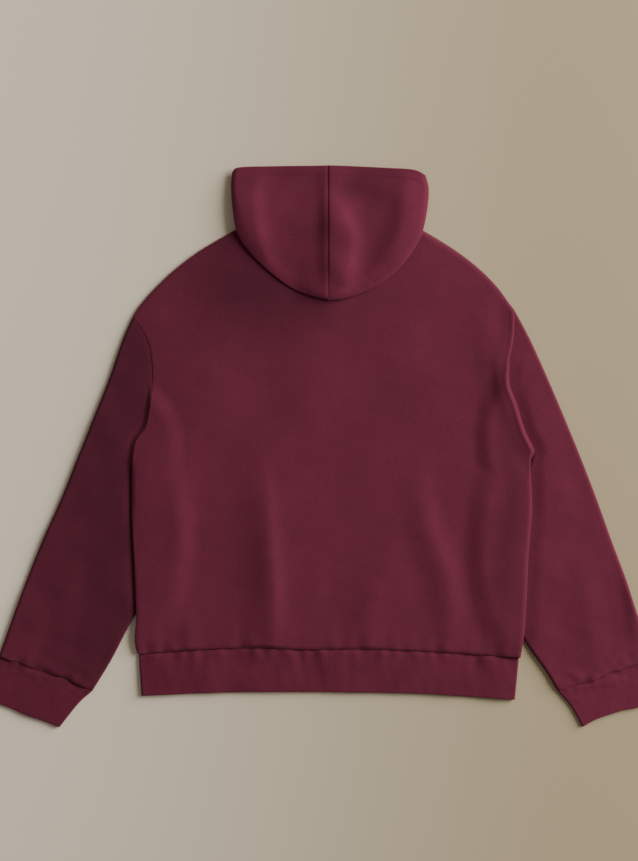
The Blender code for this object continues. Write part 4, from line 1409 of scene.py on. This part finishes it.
@dataclass
class HemBand:
    """The doubled rib band round the hem, one strip open at the zip, in millimetres."""

    finishes: Finishes
    height: float = 7.1
    edge_radius: float = 3.6
    columns: int = 1060
    rows: int = 24
    zip_gap: float = 7.3
    hem_turn: float = 1.3
    hem_backs: tuple[float, float] = (5.0, 12.0)
    seam_level: float = 0.55
    seam_reach: float = 6.0
    gather: Fade = Fade(0.85, 12)
    gather_wave: Wave = Wave(1.0, 21, 51, 0.35)
    waves: tuple[Wave, ...] = (Wave(0.35, 70, 52, 0.3), Wave(0.15, 26, 53, 0.5))

    def shares(self) -> tuple[np.ndarray, np.ndarray, np.ndarray]:
        """Return the shares of the hem's width along the lower, upper and lower runs.

        Returns:
            The lower run left of the zip, the upper run, and the lower run right of it.
        """
        across = close_at_ends(self.columns, 0.5)
        line = line_of(BAND_TOP, 400)
        left = np.interp(-self.zip_gap, line[:, 0], shares_of(line))
        right = np.interp(self.zip_gap, line[:, 0], shares_of(line))
        lower_left = np.append(left, across[across < left - 0.001][:0:-1])
        lower_right = np.append(across[across > right + 0.001][:-1], 1.0)[::-1]
        lower_right = np.append(lower_right[1:], right)
        return lower_left, across, lower_right

    def build(self) -> None:
        """Build the band with its ribs, gathers and folded lower edge."""
        lower_left, over, lower_right = self.shares()
        share = np.concatenate([lower_left, over, lower_right])
        upper = np.concatenate([np.zeros(len(lower_left), bool), np.ones(len(over), bool),
                                np.zeros(len(lower_right), bool)])
        top = at_shares(line_of(BAND_TOP, 400), share)
        bottom = at_shares(line_of(BAND_BOTTOM, 400), share)
        down = np.linspace(0, 1, self.rows + 1)[:, None, None]
        grid = (1 - down) * top[None] + down * bottom[None]
        x, y = grid[..., 0], grid[..., 1]
        first = x[:, [len(lower_left)]]
        last = x[:, [len(lower_left) + len(over) - 1]]
        full = rolled(np.minimum(np.abs(x - first), np.abs(x - last)), self.edge_radius)
        from_seam = np.abs(y - top[None, :, 1])
        gathers = (self.gather.at(from_seam) * wavy(grid, (self.gather_wave,))
                   + wavy(grid, self.waves))
        middle = self.height / 2
        tuck = self.seam_level + (1 - self.seam_level) * eased(from_seam / self.seam_reach)
        rise = middle * full * tuck + gathers * full
        height = np.where(upper[None], middle + rise, middle * (1 - full))
        rings = np.dstack([grid, height])
        rings = np.concatenate([rings, self.folded_edge(rings, middle)], axis=0)
        around = np.cumsum(np.abs(np.diff(top[:, 0], prepend=top[0, 0]))) * MM
        band = ribbed("hem_band_rib", "hem_band", rings, around, self.nap(rings),
                      self.finishes.rib)

    @staticmethod
    def nap(rings: np.ndarray) -> np.ndarray:
        """Return how bright the rib is, a little uneven along the band."""
        return 1.0 + 0.03 * waviness(rings[..., 0], rings[..., 1], 60, 54)

    def folded_edge(self, rings: np.ndarray, middle: float) -> np.ndarray:
        """Return rows that fold the rib's lower edge up inside the band.

        Args:
            rings: the band's rows of points.
            middle: the height between its two faces.

        Returns:
            The rows that follow the last one.
        """
        last = rings[-1]
        outward = np.sign(last[:, 2] - middle + 1e-6)
        rows = []
        for angle in np.linspace(0, math.pi, TURN_STEPS + 1)[1:]:
            inward = np.minimum(self.hem_turn * (1 - math.cos(angle)),
                                np.abs(last[:, 2] - middle))
            down = self.hem_turn * math.sin(angle)
            rows.append(np.column_stack([last[:, 0], last[:, 1] - down,
                                         last[:, 2] - outward * inward]))
        for back in self.hem_backs:
            rows.append(rows[TURN_STEPS - 1] + (0.0, back, 0.0))
        return np.array(rows)


# ---- hood -----------------------------------------------------------------------------------


@dataclass
class Hood(Sided):
    """One half of the hood, folded down on the back, in millimetres."""

    stack: float = 6.4
    back_level: float = 8.9
    stack_floor: float = 5.0       # what the stack lies on, past the body's neck
    rim_floor: float = 0.6         # what the hood's rim reaches down to there
    neck_from: float = 320.0
    neck_reach: float = 90.0
    step: Fade = Fade(1.5, 14)     # the seam allowance, on the right of the centre seam
    step_edge: float = 1.4
    step_from: float = 235.0
    step_grows: float = 50.0
    groove_depth: float = 0.6
    groove_width: float = 1.8
    groove_sides: Ridge = Ridge(0.4, 0, 8)
    free_reach: float = 46.0       # the left half's rim lies flatter, fully so from here out
    flatter_from: float = 375.0
    flatter_reach: float = 70.0
    wider_from: float = 380.0
    wider_reach: float = 60.0
    hem_thicker: float = 0.4
    fold_radius: float = 9.0
    fold_widening: float = 9.0
    hem_radius: float = 2.2
    hem_tail: float = 12.0
    hem_depth: float = 15.0
    columns: int = 96
    rows: int = 120
    wall: float = 2.2
    lowest_layer: float = 2.4
    top_layer_under: float = 6.5   # how far the hidden layers lie under the hood's face
    top_layer_least: float = 5.0
    layer_radius: float = 3.0
    layer_brightness: float = 0.9
    front_corner: Path = ((NECK_HALF, 345.4), (128, 360), (139, 380))
    front_side: Path = ((138, 402), (139.5, 391), (139, 380))
    front_top: Path = ((98, 414), (120, 411), (138, 402))
    front_face: Path = ((98, 414), (70, 345), (30, 290), (4.0, 259.5))
    layers_edge: Path = ((0, 417.5), (60, 415.5), (100, 413), (137, 404))
    layers_side: Path = ((137, 404), (140.5, 385), (137, 350), (131, 334))
    layers_neck: Path = ((0, 324), (40, 327.5), (80, 337), (106, 348), (131, 334))
    thin_rim: Fade = Fade(4.6, 24)
    hem_stitching: Ridge = Ridge(0.3, 0, 1.8)
    front_stitching: Ridge = Ridge(0.35, 0, 1.2)
    waves: tuple[Wave, ...] = (Wave(0.4, 90, 61), Wave(0.1, 34, 62))
    pile: Wave = Wave(0.03, 60, 64)
    # painted highlight along the hood's rim
    painted_rim_highlight: dict[Side, Fade] = by_side(Fade(0.12, 7), Fade(0.12, 4.5))
    # painted shade over the hood's halves, with one painted highlight on the right
    painted_shading: dict[Side, tuple[Oval, ...]] = by_side(
        (Oval(-36, 345, 22, 62, -0.17), Oval(-112, 405, 34, 20, -0.13)),
        (Oval(46, 396, 42, 27, -0.27), Oval(74, 350, 26, 50, -0.16),
         Oval(127, 372, 20, 40, 0.12)))
    creases: dict[Side, tuple[Crease, ...]] = by_side((
        Crease(((-113, 412), (-113, 345), (-98, 288), (-84, 262)),
               16, 44, 6.2),
        Crease(((0, 416), (0, 320), (0, 225)), 34, 12, 5.4),
        Crease(((2, 374), (20, 342), (32, 310), (20, 240)), 14, 26, 6.6),
    ), (
        Crease(((0, 416), (0, 320), (0, 225)), 34, 12, 5.4),
        Crease(((2, 374), (20, 342), (32, 310), (20, 240)), 14, 26, 6.6),
        Crease(((120, 414), (116, 345), (97, 290), (66, 248)),
               34, 22, 7.0),
    ))

    def outline(self) -> tuple[np.ndarray, np.ndarray, np.ndarray, np.ndarray]:
        """Return the face edge, the crown fold, the centre seam and the side.

        Returns:
            Four lines of points, in millimetres.
        """
        across = close_at_ends(self.columns, 0.85)
        down = close_at_ends(self.rows, 0.8)
        edge = at_shares(line_of(self.cut.hood_edge, 200), across)
        fold = at_shares(line_of(self.cut.hood_fold, 200), across)
        seam = edge[0] + (fold[0] - edge[0]) * down[:, None]
        return edge, fold, seam, at_shares(line_of(self.cut.hood_side, 200), down)

    def resting(self, grid: np.ndarray, floor: float) -> np.ndarray:
        """Return the height the hood lies on: the back, then what is on the floor.

        Args:
            grid: rows, columns and x, y, in millimetres.
            floor: the height of what is on the floor.

        Returns:
            A height for each place, in millimetres.
        """
        on_back = self.back_level + swollen(grid, (NECK_SWELL,)) + SLIDER_RISE * over_slider(grid)
        beyond = eased((grid[..., 1] - self.neck_from) / self.neck_reach)
        return (1 - beyond) * on_back + beyond * floor

    def surface(self, grid: np.ndarray) -> np.ndarray:
        """Return the height of the hood's outer face, before its edges roll down.

        Args:
            grid: rows, columns and x, y, in millimetres.

        Returns:
            A height for each place, in millimetres.
        """
        x, y = grid[..., 0], grid[..., 1]
        folds = creased(grid, self.creases[self.side])
        waves = wavy(grid, self.waves)
        across = np.maximum(x, 0)
        step = (self.step.at(across) * (1 - np.exp(-across / self.step_edge))
                * eased((y - self.step_from) / self.step_grows))
        groove = self.groove_depth * np.exp(-(np.abs(x) / self.groove_width) ** 1.4)
        seam = groove + self.groove_sides.at(np.abs(x))
        return self.resting(grid, self.stack_floor) + self.stack + folds + waves + step - seam

    def build(self) -> None:
        """Build the visible layer, the layers under it and the part at the front neck."""
        word = self.side.word
        edge, fold, seam, side = self.outline()
        grid = filled(edge, fold, seam, side)
        rim = np.vstack([side, fold[::-1]])
        top = self.surface(grid)
        from_rim, from_edge = distance_to(grid, rim), distance_to(grid, edge)
        from_seam = eased(-grid[..., 0] / self.free_reach)   # 0 on the whole of the right half
        flatter = eased((self.flatter_from - grid[..., 1]) / self.flatter_reach) * from_seam
        top -= self.thin_rim.at(from_rim) * flatter
        half = (top - self.resting(grid, self.rim_floor)) / 2
        wider = eased((self.wider_from - grid[..., 1]) / self.wider_reach) * from_seam
        by_rim = half * (1 - rolled(from_rim, self.fold_radius + self.fold_widening * wider))
        by_edge = self.hem_radius * (1 - rolled(from_edge, self.hem_radius))
        past_hem = from_edge - self.hem_depth
        stitched = self.hem_stitching.at(past_hem)
        doubled = self.hem_thicker * (1 - eased((past_hem + 2) / 4))
        height = top - np.maximum(by_rim, by_edge) - stitched + doubled
        points = np.dstack([grid, height])
        shell = skin(f"hood_{word}_shell", points, flip=not self.left, nap=self.nap(grid))
        self.add_folds(shell, points, half)
        dressed(shell, self.finishes.fleece, nodes=(f"hood_{word}",))
        self.layers()
        self.front_part()

    def add_folds(self, shell: bpy.types.Object, points: np.ndarray,
                  half: np.ndarray) -> None:
        """Roll the shell's rim and its hemmed face edge under, and sew them on.

        Args:
            shell: the shell.
            points: rows, columns and x, y, z of its face.
            half: half the stack's height at each of them.
        """
        chain = np.vstack([points[:, -1], points[-1, -2::-1]])
        falls = np.concatenate([half[:, -1], half[-1, -2::-1]])
        hem = points[0, ::-1]
        parts = [self.rolled_under(chain, self.fold_radius, falls),
                 self.rolled_under(hem, self.hem_radius, np.full(len(hem), self.hem_radius))]
        with edited(shell) as bm:
            nap = bm.verts.layers.float["nap"]
            for rows in parts:
                rings = [[bm.verts.new(tuple(p * MM)) for p in row] for row in rows]
                for vert in (vert for ring in rings for vert in ring):
                    vert[nap] = 1.0
                for near, far in zip(rings[:-1], rings[1:]):
                    for k in range(len(near) - 1):
                        corners = (near[k], near[k + 1], far[k + 1], far[k])
                        bm.faces.new(corners if self.left else corners[::-1])
            closed_up(bm, 0.02)
            highest = max(bm.faces, key=lambda face: face.calc_center_median().z)
            if highest.normal.z < 0:
                bmesh.ops.reverse_faces(bm, faces=bm.faces)

    def rolled_under(self, chain: np.ndarray, radius: float,
                     falls: np.ndarray) -> np.ndarray:
        """Return rows that carry an edge round its fold and a little way back under it.

        Args:
            chain: the edge's points, in order.
            radius: how far in the fold turns.
            falls: how far down it turns, at each point.

        Returns:
            The rows, the edge itself first.
        """
        step = np.gradient(chain[:, :2], axis=0)
        step /= np.maximum(np.linalg.norm(step, axis=1), 1e-9)[:, None]
        inward = np.column_stack([-step[:, 1], step[:, 0]])
        middle = np.array((self.side.value * 60, 330))
        inward *= np.sign(np.sum(inward * (middle - chain[:, :2])))
        rows = [chain]
        for angle in np.linspace(0, math.pi / 2, 6)[1:]:
            shift = radius * (1 - math.cos(angle))
            fall = falls * math.sin(angle)
            rows.append(np.column_stack([chain[:, :2] + inward * shift, chain[:, 2] - fall]))
        rows.append(np.column_stack([chain[:, :2] + inward * (radius + self.hem_tail),
                                     chain[:, 2] - falls]))
        return np.array(rows)

    def layers(self) -> bpy.types.Object:
        """Build the hood's hidden layers above the neck as one rounded stack.

        Returns:
            The finished stack.
        """
        word, mirror = self.side.word, (self.side.value, 1)
        edge, side, neck = (np.array(path) * mirror for path in
                            (self.layers_edge, self.layers_side, self.layers_neck))
        across, down = close_at_ends(28, 0.8), close_at_ends(24, 0.8)
        top, bottom = at_shares(edge, across), at_shares(neck, across)
        side = at_shares(side, down)
        grid = filled(top, bottom, top[0] + (bottom[0] - top[0]) * down[:, None], side)
        full = rolled(distance_to(grid, np.vstack([top, side, bottom[::-1]])),
                      self.layer_radius)
        upper = np.maximum(self.surface(grid) - self.top_layer_under, self.top_layer_least)
        middle = (upper + self.lowest_layer) / 2
        over = np.dstack([grid, middle + (upper - middle) * full])
        under = np.dstack([grid, middle - (middle - self.lowest_layer) * full])
        nap = np.full(grid.shape[:2], self.layer_brightness)
        piece = skin(f"hood_{word}_layers", over, flip=not self.left, nap=nap)
        below = skin("below", under, flip=self.left, nap=nap)
        joined(piece, below)
        return dressed(piece, self.finishes.fleece)

    def front_part(self) -> bpy.types.Object:
        """Build the hood's own front, from the front neck seam to its hemmed edge.

        Returns:
            The finished part.
        """
        mirror = (self.side.value, 1)
        xs = np.linspace(self.front_face[-1][0], NECK_HALF, 41)
        neck = np.column_stack([xs, neck_along(xs, FRONT_NECK) + 0.4])
        corner = line_of(self.front_corner, 20)[1:]
        neck = at_shares(np.vstack([neck, corner]) * mirror, np.linspace(0, 1, 41))
        top, face, side = (line_of(path, 40) * mirror
                           for path in (self.front_top, self.front_face, self.front_side))
        side[-1] = neck[-1]
        face[-1] = neck[0]
        grid = filled(top, neck, face, side)
        past_hem = distance_to(grid, face) - self.hem_depth
        piece = skin(f"hood_{self.side.word}_front",
                     np.dstack([grid, self.front_stitching.at(past_hem)]),
                     flip=not self.left, nap=np.ones(grid.shape[:2]))
        walled(piece, self.wall)
        return dressed(piece, self.finishes.fleece)

    def nap(self, grid: np.ndarray) -> np.ndarray:
        """Return the colour's scale over the hood: uneven tone, a painted rim highlight and
        painted shade.

        Args:
            grid: rows, columns and x, y, in millimetres.

        Returns:
            A brightness for each place.
        """
        rim = np.vstack([grid[:, -1], grid[-1]])
        uneven = 1.05 + wavy(grid, (self.pile,))
        uneven += self.painted_rim_highlight[self.side].at(distance_to(grid, rim))
        return uneven + swollen(grid, self.painted_shading[self.side])


def joined(piece: bpy.types.Object, other: bpy.types.Object) -> None:
    """Sew another mesh into a piece along the edges they share.

    Args:
        piece: the piece that stays.
        other: the piece that goes into it.
    """
    with edited(piece) as bm:
        bm.from_mesh(other.data)
        closed_up(bm, 0.01)
    bpy.data.objects.remove(other, do_unlink=True)


# ---- zip and stitches -----------------------------------------------------------------------


@dataclass
class Zip:
    """The zip's teeth and the finishes of its metal parts and tapes, in millimetres."""

    finishes: Finishes
    foot: float = -358.0
    head: float = 252.0
    spacing: float = 2.6
    tooth: tuple[float, float, float] = (1.25, 3.0, 2.6)
    level: float = 3.2
    half_gap: float = 1.3
    spread: float = 1.6

    def build(self) -> None:
        """Dress the metal and the tapes, and set the teeth."""
        for name in ("zip_slider", "zip_pull", "zip_box"):
            finish_node(name, self.finishes.metal)
        for name in ("zip_tape_left", "zip_tape_right"):
            finish_node(name, self.finishes.tape)
        for side in Side:
            start = self.foot + (self.spacing / 2 if side is Side.RIGHT else 0.0)
            y = np.linspace(start, self.head, 120)
            rise = SLIDER_RISE * over_slider(np.column_stack([np.zeros_like(y), y]))
            apart = self.half_gap + self.spread * eased((y - SLIDER_Y + 1) / 6)
            points = np.column_stack([side.value * apart, y, self.level + rise])
            teeth = path_object(f"zip_teeth_{side.word}", points)
            grown(teeth, bpy.data.node_groups["zip_row"], spacing=self.spacing * MM,
                  size=[v * MM for v in self.tooth], stuff=self.finishes.metal)
            dressed(teeth, self.finishes.metal)


def finish_node(name: str, material: bpy.types.Material) -> None:
    """Give a CAD node its finished material in every slot.

    Args:
        name: the node's name.
        material: its finish.
    """
    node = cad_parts[name]
    for slot in node.material_slots:
        slot.material = material


@dataclass
class Stitches:
    """Rows of topstitching, in millimetres: beside the zip and along the hood's hem."""

    finishes: Finishes
    stitch: tuple[float, float, float] = (2.5, 0.55, 0.45)
    spacing: float = 3.3
    inset: float = 6.0

    def row(self, name: str, points: np.ndarray) -> None:
        """Set one row of stitches along a path.

        Args:
            name: the row's name.
            points: x, y, z of its path.
        """
        piece = path_object(name, points)
        grown(piece, bpy.data.node_groups["stitch_row"], spacing=self.spacing * MM,
              size=[v * MM for v in self.stitch], stuff=self.finishes.thread)
        dressed(piece, self.finishes.thread)

    def build(self, hoods: list[Hood]) -> None:
        """Build every row.

        Args:
            hoods: both halves of the hood, whose hems are stitched.
        """
        for side in Side:
            y = np.linspace(-300, 256, 100)
            x = np.full_like(y, side.value * (FRONT_EDGE + self.inset))
            place = np.column_stack([x, y])
            self.row(f"front_{side.word}_topstitch",
                     np.column_stack([place, body_rise(place) + 0.15]))
        for hood in hoods:
            line = hood.outline()[0] - (0.0, hood.hem_depth)
            line = line[np.abs(line[:, 0]) < 136]
            height = hood.surface(line[:, None])[:, 0] - 0.55
            self.row(f"hood_{hood.side.word}_hem_stitch", np.column_stack([line, height]))


# ---- floor, light and camera ----------------------------------------------------------------


@dataclass
class Studio:
    """A pale floor with painted light on its left, soft light from the right and a camera looking
    straight down.
    """

    # painted light on the floor: pale on the left, deeper on the right, fading across these x in
    # metres
    floor_painted_light_colours: tuple[str, str] = ("#f5e6ce", "#b29f7d")
    floor_painted_light_fade: tuple[float, float] = (-0.75, 0.45)
    key_power: float = 430.0
    key_height: float = 29.0
    key_bearing: float = 24.0
    key_distance: float = 5.0
    key_size: float = 3.4
    fill: float = 0.24
    eye_height: float = 3.0
    view_centre: tuple[float, float] = (-13.5, 24.4)
    view_length: float = 1291.5

    def build(self) -> None:
        """Build the floor, the lights and the camera."""
        self.build_floor()
        self.build_lights()
        self.build_camera()

    def build_floor(self) -> None:
        """Lay a pale floor just under the garment, with painted light that brightens it towards
        the left.
        """
        bpy.ops.mesh.primitive_plane_add(size=8.0, location=(0, 0, -0.0004))
        floor = bpy.context.object
        floor.name = "floor"
        made, tree, shader = new_material("pale_plaster_floor")
        shader.inputs["Roughness"].default_value = 0.9
        place = add(tree, "ShaderNodeTexCoord")
        parts = add(tree, "ShaderNodeSeparateXYZ", {0: place.outputs["Object"]})
        # Painted light: the floor's colour fades from pale on the left to deeper on the right.
        share = add(tree, "ShaderNodeMapRange", {"Value": parts.outputs["X"],
                                                 "From Min": self.floor_painted_light_fade[0],
                                                 "From Max": self.floor_painted_light_fade[1]},
                    interpolation_type="SMOOTHSTEP")
        pale, deep = (linear(colour) for colour in self.floor_painted_light_colours)
        tone = add(tree, "ShaderNodeMix", {0: share.outputs[0], 6: pale, 7: deep},
                   data_type="RGBA")
        tree.links.new(tone.outputs[2], shader.inputs["Base Color"])
        floor.data.materials.append(made)

    def build_lights(self) -> None:
        """Hang one large soft light low on the right, with an even fill."""
        height, bearing = math.radians(self.key_height), math.radians(self.key_bearing)
        away = np.array((math.cos(height) * math.cos(bearing),
                         math.cos(height) * math.sin(bearing), math.sin(height)))
        data = bpy.data.lights.new("key", "AREA")
        data.energy = self.key_power
        data.size = self.key_size
        key = bpy.data.objects.new("key", data)
        key.location = away * self.key_distance
        key.rotation_euler = (math.pi / 2 - height, 0, bearing + math.pi / 2)
        bpy.context.scene.collection.objects.link(key)
        world = bpy.data.worlds.new("even_fill")
        world.use_nodes = True
        world.node_tree.nodes["Background"].inputs["Color"].default_value = (1, 0.98, 0.96, 1)
        world.node_tree.nodes["Background"].inputs["Strength"].default_value = self.fill
        bpy.context.scene.world = world

    def build_camera(self) -> None:
        """Set the camera straight above the garment."""
        data = bpy.data.cameras.new("above")
        data.sensor_width = 36.0
        data.lens = 36.0 * (self.eye_height - 0.01) / (self.view_length * MM)
        camera = bpy.data.objects.new("above", data)
        camera.location = (self.view_centre[0] * MM, self.view_centre[1] * MM, self.eye_height)
        bpy.context.scene.collection.objects.link(camera)
        bpy.context.scene.camera = camera


def main() -> None:
    """Build the hoodie and its studio in order."""
    logging.basicConfig(level=logging.INFO, format="%(name)s %(message)s")
    finishes = Finishes.made()
    rib_tree()
    row_tree("zip_row", tooth=True)
    row_tree("stitch_row", tooth=False)
    Body(finishes).build()
    for side in Side:
        Arm(side, finishes).build()
    HemBand(finishes).build()
    hoods = [Hood(side, finishes) for side in Side]
    for hood in hoods:
        hood.build()
    Zip(finishes).build()
    Stitches(finishes).build(hoods)
    Studio().build()


if __name__ == "__main__":
    main()
